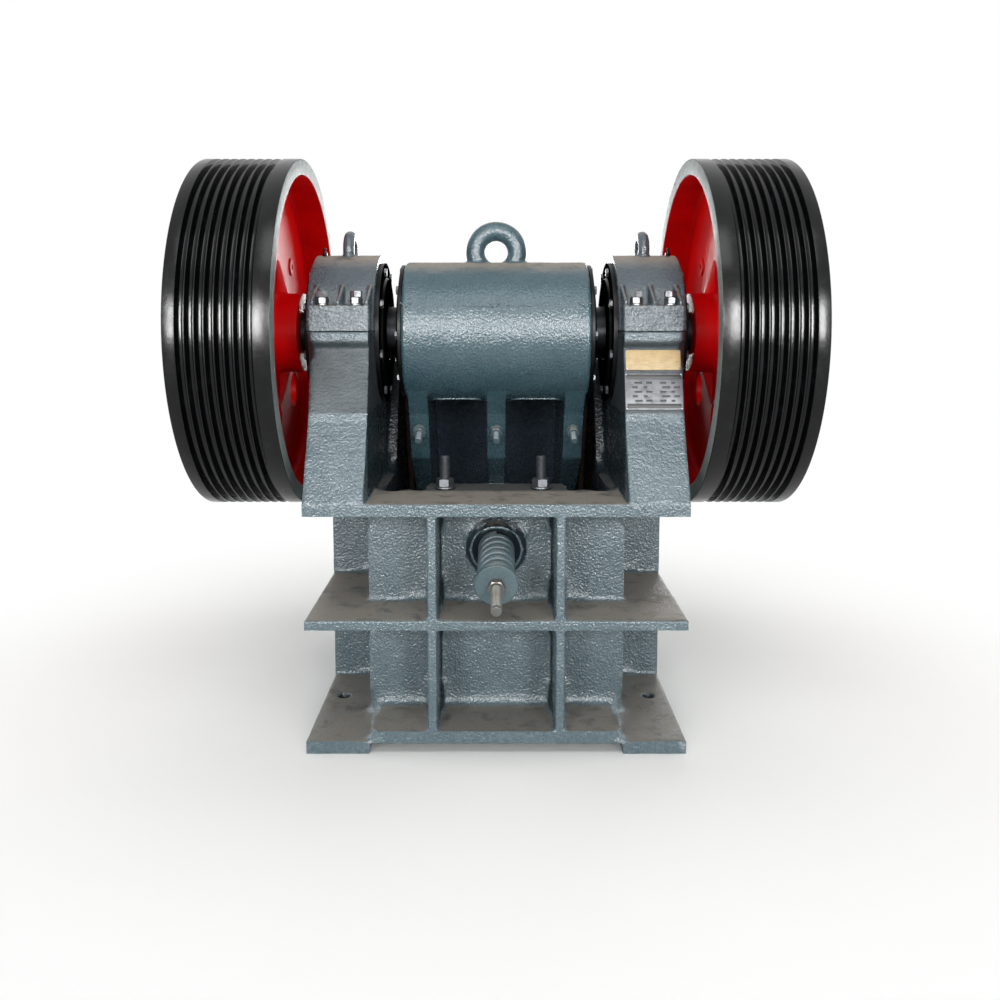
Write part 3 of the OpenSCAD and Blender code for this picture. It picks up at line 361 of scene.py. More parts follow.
    # Dust lies smooth over the grit.
    bare = add_node(tree, "MapRange", {"Value": dusty, "To Min": 1.0, "To Max": 0.3}).outputs[0]
    if shaded:
        calm = add_node(tree, "MapRange", {"Value": band, "To Min": 1.0, "To Max": 0.6})
        bare = add_node(tree, "Math", {0: bare, 1: calm.outputs[0]},
                        operation="MULTIPLY").outputs[0]
    skin = add_node(tree, "Bump", {"Height": grit, "Strength": bare, "Distance": relief})
    tree.links.new(skin.outputs[0], shader.inputs["Normal"])
    shader.inputs["Specular IOR Level"].default_value = specular
    return finish


frame_enamel = cast_enamel("brushed enamel on cast steel", "#52646b", "#6c7c81", "#36444a",
                           "#726b61", relief=0.003, inside=(0.362, -0.5, 0.565), rippled=0.74,
                           shaded=(0.93, 1.132), specular=0.45)
frame_casting = blank_of("frame_casting", "side_wall_left", "side_wall_right", "rear_wall",
                         "front_wall")
cast_skin(frame_casting, grain=0.005, fillet=0.038, triangles=190000, sharp_below=0.036)
frame_casting.data.materials.append(frame_enamel)
# Painted shade darkens the rod boss and the corner round it, and grime fills the four anchor bolt
# holes.
grime_and_shade_enamel = cast_enamel("grime and painted shade enamel in bores and corners", "#222c31", "#35424a", "#14191c",
                           "#2c2b29", relief=0.002, gloss=0.4, specular=0.25)
frame_casting.data.materials.append(grime_and_shade_enamel)
boss_foot = Vector((0, -0.515, 0.538))
rod_slope = math.radians(10)
rod_way = Vector((0, -math.cos(rod_slope), -math.sin(rod_slope)))
ANCHOR_HOLE = (0.468, 0.38)
for face in frame_casting.data.polygons:
    off = face.center - boss_foot
    along = off.dot(rod_way)
    reach = (off - along * rod_way).length
    in_boss = -0.02 < along < 0.029 and (reach < 0.0695 or 0.0762 < reach < 0.088)
    x, y, z = face.center
    from_hole = math.hypot(abs(x) - ANCHOR_HOLE[0], abs(y) - ANCHOR_HOLE[1])
    in_hole = from_hole < 0.0185 and 0.002 < z < 0.035
    if in_boss or in_hole:
        face.material_index = 1
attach(frame_casting, "frame")
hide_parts("side_wall_left", "side_wall_right", "rear_wall", "front_wall")

# Jaw and cheek plates: thick plates of raw manganese steel, cast with upright ridges and
# clamped to the castings. They stay bare, dark and a little rusty until stone polishes them.
def raw_casting(name, body, rust, roughness, relief=0.002):
    """Unpainted cast steel: dark scale with rusty patches and a coarse sand skin, half matt."""
    finish, tree, shader, where = new_finish(name)
    place = where["Object"]
    patches = add_node(tree, "TexNoise", {"Vector": place, "Scale": 14, "Detail": 6,
                                          "Roughness": 0.65}).outputs[0]
    rusty = add_node(tree, "MapRange", {"Value": patches, "From Min": 0.45, "From Max": 0.68})
    coat = add_node(tree, "Mix", {0: rusty.outputs[0], 6: linear(body), 7: linear(rust)},
                    data_type="RGBA").outputs[2]
    tree.links.new(coat, shader.inputs["Base Color"])
    # Sand grains 5 mm across.
    sand = add_node(tree, "TexNoise", {"Vector": place, "Scale": 190, "Detail": 3}).outputs[0]
    skin = add_node(tree, "Bump", {"Height": sand, "Strength": 0.7, "Distance": relief})
    tree.links.new(skin.outputs[0], shader.inputs["Normal"])
    shader.inputs["Metallic"].default_value = 0.55
    shader.inputs["Roughness"].default_value = roughness
    return finish


manganese = raw_casting("raw manganese steel casting", "#4d4a47", "#5d4a3b", 0.55)
for node, body in (("fixed_jaw_plate", "frame"), ("swing_jaw_plate", "jaw"),
                   ("cheek_plate_left", "frame"), ("cheek_plate_right", "frame")):
    liner = blank_of(node + "_casting", node)
    cast_skin(liner, grain=0.005, fillet=0.008, triangles=30000)
    liner.data.materials.append(manganese)
    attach(liner, body)
    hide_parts(node)

# Toggle block, wedge, toggle plate and its front seat: forged steel blocks between the rear
# wall and the swing jaw, left as sawn and greased.
greased = raw_casting("greased forged steel", "#33353a", "#423b34", 0.4, relief=0.001)
for node in ("toggle_block", "adjusting_wedge", "toggle_plate", "pitman_toggle_seat"):
    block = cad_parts[node]
    block.data.materials.clear()
    block.data.materials.append(greased)

# Shaft and bearings: the turned eccentric shaft with its two roller bearings a side, ground
# and oiled, so that they show bright rings where they are left bare.
def machined(name, body, roughness, grain):
    """Turned steel: bright metal with fine tool lines round the axis and an oily mottle."""
    finish, tree, shader, where = new_finish(name)
    place = where["Object"]
    oil = add_node(tree, "TexNoise", {"Vector": place, "Scale": 22, "Detail": 4}).outputs[0]
    stain = add_node(tree, "MapRange", {"Value": oil, "From Min": 0.4, "From Max": 0.7})
    darker = [0.6 * part for part in linear(body)[:3]] + [1]
    tint = add_node(tree, "Mix", {0: stain.outputs[0], 6: linear(body), 7: darker},
                    data_type="RGBA").outputs[2]
    tree.links.new(tint, shader.inputs["Base Color"])
    # Tool lines, drawn 2 mm apart so that they show.
    lines = add_node(tree, "Mapping", {"Vector": place, "Scale": (grain, 4, 4)}).outputs[0]
    tooling = add_node(tree, "TexNoise", {"Vector": lines, "Scale": 1, "Detail": 2}).outputs[0]
    skin = add_node(tree, "Bump", {"Height": tooling, "Strength": 0.25, "Distance": 0.0005})
    tree.links.new(skin.outputs[0], shader.inputs["Normal"])
    gloss = add_node(tree, "MapRange", {"Value": oil, "To Min": roughness - 0.1,
                                        "To Max": roughness + 0.15}).outputs[0]
    tree.links.new(gloss, shader.inputs["Roughness"])
    shader.inputs["Metallic"].default_value = 1.0
    return finish


oiled_steel = machined("oiled turned steel", "#a8a8a6", 0.28, 500)
dark_steel = machined("blackened oiled steel", "#2c2d2f", 0.34, 500)
for node, finish in (("eccentric_shaft", dark_steel), ("main_bearing_left", oiled_steel),
                     ("main_bearing_right", oiled_steel), ("pitman_bearing_left", oiled_steel),
                     ("pitman_bearing_right", oiled_steel)):
    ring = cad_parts[node]
    ring.data.materials.clear()
    ring.data.materials.append(finish)

# Pitman: the casting that hangs on the eccentric, with a barrel, three back ribs and the seat
# of the swing jaw, in a darker coat of the same enamel.
pitman_enamel = cast_enamel("dark enamel on cast steel", "#38525b", "#4b626a", "#23353d",
                            "#565e5f", relief=0.0022)
# Painted shade: a darker coat for the recesses between the back ribs.
recess_shade_enamel = cast_enamel("painted shade enamel on cast steel recesses", "#34404b", "#46525c", "#1c242b",
                            "#363c41", relief=0.0024)
# The shaft's axis and the barrel's own, in y and z, which the eccentric holds 10 mm apart.
SHAFT = (-0.24, 1.15)
ride_angle = math.radians(160)
ECCENTRIC = (SHAFT[0] + 0.01 * math.cos(ride_angle), SHAFT[1] + 0.01 * math.sin(ride_angle))
pitman_casting = blank_of("pitman_casting", "pitman")
cast_skin(pitman_casting, grain=0.004, fillet=0.016, triangles=150000)
pitman_casting.data.materials.append(pitman_enamel)
pitman_casting.data.materials.append(recess_shade_enamel)
# The panels and cheeks between the back ribs lie behind the ribs' edges, and take the darker coat
# as painted shade.
jaw_lean = math.radians(24.5)
lean_cos, lean_sin = math.cos(jaw_lean), math.sin(jaw_lean)
rib_x = 0.238
for face in pitman_casting.data.polygons:
    x, y, z = face.center
    y, z = y - ECCENTRIC[0], z - ECCENTRIC[1]
    behind_ribs = lean_cos * y + lean_sin * z
    below = lean_cos * z - lean_sin * y
    between = min(abs(abs(x) - rib_x), abs(x)) > 0.028
    faces_front = lean_cos * face.normal.y + lean_sin * face.normal.z > 0.5
    if (behind_ribs > -0.15 and below < -0.13 and between and not faces_front
            and math.hypot(y, z) > 0.218):
        face.material_index = 1
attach(pitman_casting, "jaw")
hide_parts("pitman")

# Mould seam: the thin ridge that the parting line of the mould left along the barrel, with
# three chisel marks on it, and the rolled lips over the two recesses. All are cast on.
def drawn(name, points):
    """A new mesh in edit mode: a line drawn from point to point, extruded from one vertex."""
    deselect()
    bpy.ops.mesh.primitive_plane_add(size=0.01)
    piece = bpy.context.object
    piece.name = piece.data.name = name
    bpy.ops.object.mode_set(mode="EDIT")
    bpy.ops.mesh.select_all(action="SELECT")
    bpy.ops.mesh.merge(type="CENTER")
    bpy.ops.transform.translate(value=points[0])
    for start, end in zip(points, points[1:]):
        step = Vector(end) - Vector(start)
        bpy.ops.mesh.extrude_vertices_move(TRANSFORM_OT_translate={"value": step})
    bpy.ops.mesh.select_all(action="SELECT")
    bpy.ops.mesh.remove_doubles(threshold=1e-6)
    return piece


def joined(name, *pieces):
    """Joins the pieces into the first of them, which takes this name."""
    pick(*pieces)
    bpy.ops.object.join()
    pieces[0].name = pieces[0].data.name = name
    return pieces[0]


def bead(points, thickness):
    """A round bead along a line of points, its ends closed."""
    drawn("bead", points)
    bpy.ops.object.mode_set(mode="OBJECT")
    bpy.ops.object.convert(target="CURVE")
    line = bpy.context.object
    line.data.bevel_depth = thickness / 2
    line.data.bevel_resolution = 2
    line.data.use_fill_caps = True
    bpy.ops.object.convert(target="MESH")
    line = bpy.context.object
    bpy.ops.object.mode_set(mode="EDIT")
    bpy.ops.mesh.select_all(action="SELECT")
    bpy.ops.mesh.remove_doubles(threshold=1e-6)
    bpy.ops.mesh.normals_make_consistent(inside=False)
    bpy.ops.object.mode_set(mode="OBJECT")
    bpy.ops.object.shade_smooth_by_angle(angle=math.radians(50))
    return line


def on_barrel(x, degrees, radius=0.2125):
    """A point of the barrel's skin, by its place along the barrel and its angle above level."""
    angle = math.radians(degrees)
    return (x, ECCENTRIC[0] - radius * math.cos(angle), ECCENTRIC[1] + radius * math.sin(angle))


beads = [bead([on_barrel(x, 21.7 + 0.35 * math.sin(31 * x) + 0.2 * math.sin(97 * x), 0.213)
               for x in np.linspace(-0.13, 0.1, 35)], 0.0026)]
for x in (-0.262, -0.006, 0.258):
    beads.append(bead([on_barrel(x - 0.017, 24.2, 0.2135), on_barrel(x - 0.008, 22.8, 0.2145),
                       on_barrel(x, 20.8, 0.2145), on_barrel(x + 0.007, 23.0, 0.2145),
                       on_barrel(x + 0.016, 24.0, 0.2135)], 0.0055))
for hand in (-1, 1):
    beads.append(bead([on_barrel(hand * (0.122 + 0.086 * u), -73 - 12 * abs(u) ** 8, 0.213)
                       for u in np.linspace(-1, 1, 33)], 0.006))
mould_seam = joined("mould_seam", *beads)
mould_seam.data.materials.append(pitman_enamel)
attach(mould_seam, "jaw")

# Bearing caps: steel castings that close the two housings, with a bolting block at each end,
# gussets and a cast lifting loop, painted with the frame.
cap_enamel = cast_enamel("dark enamel on bearing caps", "#434f56", "#5b676d", "#333f45",
                         "#5c5b57", relief=0.0016)
chipped_enamel = cast_enamel("thin chipped enamel on rough cast ends", "#5d6970", "#a0a9ac",
                             "#333d43", "#77756e", relief=0.006, rippled=1.0)
for side in ("left", "right"):
    cap = blank_of("cap_casting_" + side, "bearing_cap_" + side)
    cast_skin(cap, grain=0.0035, fillet=0.009, triangles=60000)
    cap.data.materials.append(cap_enamel)
    cap.data.materials.append(chipped_enamel)
    # The upright ends of the bolting blocks keep the rough skin of the mould.
    for face in cap.data.polygons:
        x, y, z = face.center
        on_block_end = abs(y - SHAFT[0]) > 0.275 and z < 1.2335
        if on_block_end and abs(face.normal.z) < 0.7:
            face.material_index = 1
    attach(cap, "frame")
    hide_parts("bearing_cap_" + side)

# Bearing covers: turned iron rings that close the housings and the barrel round the shaft.
# Each is held by eight hexagon bolts and painted black, matt on its faces.
def softened(corners, parts=4):
    """A section's outline from its corners (radius, x) or (radius, x, rounding)."""
    outline = []
    for number, corner in enumerate(corners):
        here = Vector(corner[:2])
        if len(corner) < 3:
            outline.append(here)
            continue
        back = (Vector(corners[number - 1][:2]) - here).normalized()
        ahead = (Vector(corners[(number + 1) % len(corners)][:2]) - here).normalized()
        half = back.angle(ahead) / 2
        middle = here + (back + ahead).normalized() * corner[2] / math.sin(half)
        spoke = here + back * corner[2] / math.tan(half) - middle
        sweep = (math.pi - 2 * half) * (1 if back.cross(ahead) > 0 else -1)
        for part in range(parts + 1):
            turn = -sweep * part / parts
            outline.append(middle + Vector((spoke.x * math.cos(turn) - spoke.y * math.sin(turn),
                                            spoke.x * math.sin(turn) + spoke.y * math.cos(turn))))
    return outline


def turned(name, corners, centre, steps=96, parts=4, smooth=40):
    """A piece turned about a line along X through centre (y, z), from its closed section."""
    outline = [(x, centre[0], centre[1] + radius) for radius, x in softened(corners, parts)]
    piece = drawn(name, outline + outline[:1])
    bpy.ops.mesh.spin(steps=steps, angle=2 * math.pi, center=(0, *centre), axis=(1, 0, 0))
    bpy.ops.mesh.select_all(action="SELECT")
    bpy.ops.mesh.remove_doubles(threshold=1e-5)
    bpy.ops.mesh.dissolve_degenerate(threshold=1e-6)
    bpy.ops.mesh.normals_make_consistent(inside=False)
    bpy.ops.object.mode_set(mode="OBJECT")
    bpy.ops.object.shade_smooth_by_angle(angle=math.radians(smooth))
    return piece


def cut(piece, tool, how="DIFFERENCE"):
    """One Boolean of a piece with a tool, which is then gone."""
    modify(piece, "BOOLEAN", object=tool, operation=how, solver="EXACT")
    bpy.data.objects.remove(tool)


def hexagon(name, across, height):
    """A hexagon head or nut on the origin, along +X, its corners turned off at both ends."""
    deselect()
    bpy.ops.mesh.primitive_cylinder_add(vertices=6, radius=across / math.sqrt(3), depth=height,
                                        location=(height / 2, 0, 0),
                                        rotation=(0, math.pi / 2, 0))
    nut = bpy.context.object
    nut.name = nut.data.name = name
    bpy.ops.object.transform_apply()
    chamfer = 0.07 * across
    lathe = turned("turning", [(0, -0.0001), (0.47 * across, -0.0001),
                               (0.59 * across, chamfer), (0.59 * across, height - chamfer),
                               (0.47 * across, height + 0.0001), (0, height + 0.0001)],
                   (0, 0), steps=48)
    cut(nut, lathe, "INTERSECT")
    pick(nut)
    bpy.ops.object.shade_smooth_by_angle(angle=math.radians(20))
    return nut


def copy_of(piece, name, matrix):
    """A copy with a mesh of its own, put in place by this matrix."""
    copy = bpy.data.objects.new(name, piece.data.copy())
    copy.data.transform(matrix)
    scene.collection.objects.link(copy)
    return copy


def black_enamel(name, shine, mirror):
    """Black enamel: almost black, with faint dust and grey rubbed spots. Shine is the
    roughness of its smoothest places, low where it lies thick and wet."""
    finish, tree, shader, where = new_finish(name)
    place = where["Object"]
    dust = add_node(tree, "TexNoise", {"Vector": place, "Scale": 18, "Detail": 6,
                                       "Roughness": 0.7}).outputs[0]
    film = add_node(tree, "MapRange", {"Value": dust, "From Min": 0.52, "From Max": 0.8,
                                       "To Max": 0.5}).outputs[0]
    coat = add_node(tree, "Mix", {0: film, 6: linear("#060708"), 7: linear("#1d2022")},
                    data_type="RGBA").outputs[2]
    tree.links.new(coat, shader.inputs["Base Color"])
    gloss = add_node(tree, "MapRange", {"Value": dust, "From Min": 0.35, "From Max": 0.7,
                                        "To Min": shine, "To Max": shine + 0.12}).outputs[0]
    tree.links.new(gloss, shader.inputs["Roughness"])
    # Brush waves 12 mm wide.
    waves = add_node(tree, "TexNoise", {"Vector": place, "Scale": 80, "Detail": 2}).outputs[0]
    skin = add_node(tree, "Bump", {"Height": waves, "Strength": 0.2, "Distance": 0.0012})
    tree.links.new(skin.outputs[0], shader.inputs["Normal"])
    shader.inputs["Specular IOR Level"].default_value = mirror
    return finish


def zinc_plate(name, body, roughness):
    """Bright zinc on a fastener: pale metal with a cloudy passivated bloom."""
    finish, tree, shader, where = new_finish(name)
    place = where["Object"]
    bloom = add_node(tree, "TexNoise", {"Vector": place, "Scale": 90, "Detail": 4}).outputs[0]
    cloudy = add_node(tree, "MapRange", {"Value": bloom, "From Min": 0.4, "From Max": 0.65})
    tint = add_node(tree, "Mix", {0: cloudy.outputs[0], 6: linear(body), 7: linear("#5e6062")},
                    data_type="RGBA").outputs[2]
    tree.links.new(tint, shader.inputs["Base Color"])
    gloss = add_node(tree, "MapRange", {"Value": bloom, "To Min": roughness - 0.08,
                                        "To Max": roughness + 0.12}).outputs[0]
    tree.links.new(gloss, shader.inputs["Roughness"])
    shader.inputs["Metallic"].default_value = 1.0
    return finish


gloss_black = black_enamel("gloss black enamel", 0.12, mirror=0.24)
cover_black = black_enamel("greasy black enamel on cover rims", 0.3, mirror=0.16)
sooty_black = black_enamel("sooty black enamel on cover faces", 0.7, mirror=0.0)
zinc = zinc_plate("zinc plated steel", "#85878a", 0.42)
dull_zinc = zinc_plate("dull zinc plated steel", "#66696d", 0.46)
cover_bolt = hexagon("cover_bolt", 0.024, 0.008)
COVERS = [
    # name, body, node, centre, face it bolts on, outward step, radius, bore, depth, first bolt
    ("housing_cover_inner", "frame", "bearing_covers", SHAFT, 0.352, -1, 0.215, 0.083, 0.02, 108),
    ("housing_cover_outer", "frame", None, SHAFT, 0.547, 1, 0.205, 0.083, 0.018, 20),
    ("barrel_cover", "jaw", "pitman_cover", ECCENTRIC, 0.278, 1, 0.205, 0.108, 0.018, 137),
]
for side, hand in (("left", -1), ("right", 1)):
    for name, body, node, centre, face, out, radius, bore, depth, first in COVERS:
        flange = depth - 0.008
        steps_out = [(bore, 0, 0), (radius, 0, 0), (radius, flange, 0.002),
                     (radius - 0.045, flange, 0.003), (radius - 0.05, depth, 0.003),
                     (bore, depth, 0.002)]
        corners = [(r, hand * (face + out * x), rounding) if rounding else
                   (r, hand * (face + out * x)) for r, x, rounding in steps_out]
        cover = turned(name + "_" + side, corners, centre, steps=96)
        cover.data.materials.append(cover_black)
        cover.data.materials.append(sooty_black)
        for polygon in cover.data.polygons:
            polygon.material_index = 1 if abs(polygon.normal.x) > 0.8 else 0
        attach(cover, body)
        if node:
            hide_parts(node + "_" + side)
        for number in range(8):
            around = math.radians(first + 45 * number)
            reach = radius - 0.0225
            spot = Vector((hand * (face + out * flange), centre[0] + reach * math.cos(around),
                           centre[1] + reach * math.sin(around)))
            matrix = (Matrix.Translation(spot) @ Matrix.Rotation(around * 1.7, 4, "X")
                      @ Matrix.Diagonal((hand * out, 1, hand * out, 1)))
            bolt = copy_of(cover_bolt, f"{name}_{side}_bolt_{number + 1}", matrix)
            bolt.data.materials.append(dull_zinc)
            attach(bolt, body)
bpy.data.objects.remove(cover_bolt)

# Cap studs: each cap is held down by two threaded studs at either end, each with a washer and
# two zinc-plated nuts locked on each other.
def threaded_bar(name, diameter, pitch, length):
    """A threaded bar along +X from the origin: one thread form swept up as a screw."""
    depth = 0.61 * pitch
    outer = diameter / 2
    bar = drawn(name, [(-2 * pitch, 0, outer), (-1.5 * pitch, 0, outer - depth),
                       (-pitch, 0, outer)])
    bpy.ops.object.mode_set(mode="OBJECT")
    modify(bar, "SCREW", axis="X", screw_offset=pitch, iterations=int(length / pitch) + 4,
           steps=20, render_steps=20, use_merge_vertices=True, merge_threshold=1e-5)
    pick(bar)
    bpy.ops.object.mode_set(mode="EDIT")
    bpy.ops.mesh.select_all(action="SELECT")
    bpy.ops.mesh.remove_doubles(threshold=1e-6)
    bpy.ops.mesh.fill_holes(sides=0)
    bpy.ops.mesh.select_all(action="SELECT")
    bpy.ops.mesh.quads_convert_to_tris()
    bpy.ops.mesh.normals_make_consistent(inside=False)
    bpy.ops.object.mode_set(mode="OBJECT")
    trim = turned("trim", [(0, 0), (outer + 0.001, 0), (outer + 0.001, length - 1.2 * pitch),
                           (outer - 1.2 * pitch, length), (0, length)], (0, 0), steps=40)
    cut(bar, trim, "INTERSECT")
    pick(bar)
    bpy.ops.object.shade_smooth_by_angle(angle=math.radians(30))
    return bar


def washer(name, bore, outer, thickness):
    """A turned washer on the origin, along +X, with rounded edges."""
    return turned(name, [(bore / 2, 0), (outer / 2, 0, 0.0006), (outer / 2, thickness, 0.0012),
                         (bore / 2, thickness, 0.0008)], (0, 0), steps=48)


UP = Matrix.Rotation(-math.pi / 2, 4, "Y")
cap_washer = washer("washer", 0.0225, 0.036, 0.005)
cap_nut_low = hexagon("nut", 0.032, 0.0178)
cap_nut_high = copy_of(cap_nut_low, "nut", Matrix.Rotation(0.5, 4, "X"))
cap_nut_low.data.transform(Matrix.Translation((0.005, 0, 0)))
cap_nut_high.data.transform(Matrix.Translation((0.0231, 0, 0)))
cap_stud = joined("cap_stud", threaded_bar("bar", 0.022, 0.0025, 0.0425), cap_washer,
                  cap_nut_low, cap_nut_high)
cap_top = 1.233
for side, hand in (("left", -1), ("right", 1)):
    for number, (across, along) in enumerate([(-1, -1), (1, -1), (-1, 1), (1, 1)]):
        spot = (hand * (0.4445 + across * 0.048), SHAFT[0] + along * 0.267, cap_top + 0.0003)
        turn = Matrix.Rotation(0.4 + 1.3 * number + hand, 4, "Z")
        stud = copy_of(cap_stud, f"cap_stud_{side}_{number + 1}",
                       Matrix.Translation(spot) @ turn @ UP)
        stud.data.materials.append(zinc)
        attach(stud, "frame")
        if number == 0:
            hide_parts("cap_studs_" + side)
bpy.data.objects.remove(cap_stud)

# Belt wheels: grey iron castings with eight turned V grooves, a web with balancing holes and a
# hub on the shaft. Red enamel inside, black on the grooves, the rim's sides in a thin primer.
def wheel_corners():
    """The right wheel's section as (radius, x, rounding): grooved rim, web and hub."""
    corners = [(0.525, 0.582, 0.003)]
    for groove in range(7, -1, -1):
        middle = 0.818 - 0.0255 * groove
        corners += [(0.525, middle - 0.011, 0.0015), (0.506, middle - 0.0045, 0.0025),
                    (0.506, middle + 0.0045, 0.0025), (0.525, middle + 0.011, 0.0015)]
    return corners + [
        (0.525, 0.863, 0.004), (0.478, 0.863, 0.003), (0.478, 0.705, 0.02),
        (0.122, 0.705, 0.016), (0.122, 0.851, 0.004), (0.065, 0.851, 0.002),
        (0.065, 0.596, 0.002), (0.122, 0.596, 0.004), (0.122, 0.675, 0.016),
        (0.478, 0.675, 0.02), (0.478, 0.582, 0.003)]


def on_web(degrees):
    """A point (y, z) on the circle of the web's holes, by its angle."""
    angle = math.radians(degrees)
    return (SHAFT[0] + 0.275 * math.cos(angle), SHAFT[1] + 0.275 * math.sin(angle))


def red_enamel(name):
    """Red gloss enamel on a rough casting: strong red, a soft shine, darker runs and dust."""
    finish, tree, shader, where = new_finish(name)
    place = where["Object"]
    runs = add_node(tree, "TexNoise", {"Vector": place, "Scale": 9, "Detail": 5}).outputs[0]
    uneven = add_node(tree, "MapRange", {"Value": runs, "From Min": 0.42, "From Max": 0.7})
    coat = add_node(tree, "Mix", {0: uneven.outputs[0], 6: linear("#d20407"),
                                  7: linear("#b80306")}, data_type="RGBA").outputs[2]
    tree.links.new(coat, shader.inputs["Base Color"])
    # Sand grains 7 mm across under the coat.
    sand = add_node(tree, "TexNoise", {"Vector": place, "Scale": 140, "Detail": 2}).outputs[0]
    skin = add_node(tree, "Bump", {"Height": sand, "Strength": 0.35, "Distance": 0.002})
    tree.links.new(skin.outputs[0], shader.inputs["Normal"])
    shader.inputs["Roughness"].default_value = 0.38
    shader.inputs["Specular IOR Level"].default_value = 0.06
    return finish


red = red_enamel("red enamel on grey iron")
satin_black = black_enamel("satin black enamel on turned lands", 0.18, mirror=0.26)
rim_face = cast_enamel("thin primer on the turned rim face", "#6b7473", "#8f9797", "#3d4443",
                       "#77786f", relief=0.0012, gloss=0.45, specular=0.15)
for side, hand in (("left", -1), ("right", 1)):
    corners = [(corner[0], hand * corner[1], *corner[2:]) for corner in wheel_corners()]
    wheel = turned("belt_wheel_casting_" + side, corners, SHAFT, steps=160, smooth=35)
    for turn in (-156, -100, -44):
        spot = on_web(turn)
        core = turned("core", [(0, hand * 0.66), (0.0575, hand * 0.66), (0.0575, hand * 0.675),
                               (0.0525, hand * 0.68), (0.0525, hand * 0.70),
                               (0.0575, hand * 0.705), (0.0575, hand * 0.72),
                               (0, hand * 0.72)], spot, steps=48)
        cut(wheel, core)
    for turn in (50, 130):
        spot = on_web(turn)
        boss = turned("boss", [(0, hand * 0.68), (0.03, hand * 0.68), (0.028, hand * 0.669, 0.002),
                               (0, hand * 0.669)], spot, steps=36)
        cut(wheel, boss, "UNION")
        bore = turned("bore", [(0, hand * 0.66), (0.01, hand * 0.66), (0.01, hand * 0.72),
                               (0, hand * 0.72)], spot, steps=24)
        cut(wheel, bore)
    for up in (1, -1):
        corners = [(0.641, 0.112), (0.68, 0.112), (0.68, 0.225), (0.674, 0.225)]
        outline = [(hand * x, SHAFT[0] - 0.0125, SHAFT[1] + up * r) for x, r in corners]
        gusset = drawn("gusset", outline + outline[:1])
        bpy.ops.mesh.edge_face_add()
        bpy.ops.mesh.extrude_region_move(TRANSFORM_OT_translate={"value": (0, 0.025, 0)})
        bpy.ops.mesh.select_all(action="SELECT")
        bpy.ops.mesh.normals_make_consistent(inside=False)
        bpy.ops.mesh.bevel(offset=0.002, segments=2, affect="EDGES")
        bpy.ops.object.mode_set(mode="OBJECT")
        cut(wheel, gusset, "UNION")
    for finish in (red, gloss_black, rim_face, satin_black):
        wheel.data.materials.append(finish)
    for face in wheel.data.polygons:
        x, y, z = face.center
        radius = math.hypot(y - SHAFT[0], z - SHAFT[1])
        side_on = abs(face.normal.x) > 0.75 and (abs(x) < 0.59 or abs(x) > 0.858)
        if side_on and radius > 0.47:
            face.material_index = 2
        elif radius > 0.5:
            face.material_index = 3 if radius > 0.521 else 1
    pick(wheel)
    bpy.ops.object.shade_smooth_by_angle(angle=math.radians(35))
    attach(wheel, "rotor")
    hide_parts("belt_wheel_" + side)

# Shaft end plates: steel discs that hold the wheels on the shaft, each with four bolts.
plate_bolt = hexagon("plate_bolt", 0.024, 0.007)
for side, hand in (("left", -1), ("right", 1)):
    plate = turned("end_plate_" + side, [(0, hand * 0.851), (0.08, hand * 0.851),
                                         (0.08, hand * 0.856, 0.0015), (0.012, hand * 0.856),
                                         (0, hand * 0.852)], SHAFT, steps=72)
    plate.data.materials.append(oiled_steel)
    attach(plate, "rotor")
    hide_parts("shaft_end_plate_" + side)
    for number in range(4):
        around = math.radians(45 + 90 * number)
        spot = Vector((hand * 0.856, SHAFT[0] + 0.045 * math.cos(around),
                       SHAFT[1] + 0.045 * math.sin(around)))
        matrix = Matrix.Translation(spot) @ Matrix.Diagonal((hand, 1, hand, 1))
        bolt = copy_of(plate_bolt, f"end_plate_{side}_bolt_{number + 1}", matrix)
        bolt.data.materials.append(zinc)
        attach(bolt, "rotor")
bpy.data.objects.remove(plate_bolt)

# Jaw bolts: three bolts pass through the ribs and clamp the swing jaw plate. Each has a
# washer and a hexagon nut, painted over with the pitman.
jaw_bolt = joined("jaw_bolt", threaded_bar("bar", 0.024, 0.003, 0.062),
                  washer("washer", 0.0245, 0.044, 0.004), hexagon("nut", 0.036, 0.019))
# The nut, and with it the upper edge of the washer, stands 4 mm further out.
for vertex in jaw_bolt.data.vertices:
    if 0.0125 < math.hypot(vertex.co.y, vertex.co.z) < 0.0214:
        vertex.co.x += 0.004
painted_steel = cast_enamel("enamel brushed over steel fittings", "#4a5c62", "#65767b",
                            "#35434a", "#5f6664", relief=0.0006, gloss=0.34, specular=0.3)
along_bolt = Matrix.Rotation(jaw_lean, 4, "X") @ Matrix.Rotation(-math.pi / 2, 4, "Z")
for number, x in enumerate((-rib_x, 0.0, rib_x)):
    turn = Matrix.Rotation(0.3 + 0.9 * number, 4, "X")
    bolt = copy_of(jaw_bolt, f"jaw_bolt_{number + 1}",
                   Matrix.Translation((x, -0.2806, 0.848)) @ along_bolt @ turn)
    bolt.data.materials.append(painted_steel)
    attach(bolt, "jaw")
    if number == 0:
        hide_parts("jaw_bolts")
bpy.data.objects.remove(jaw_bolt)

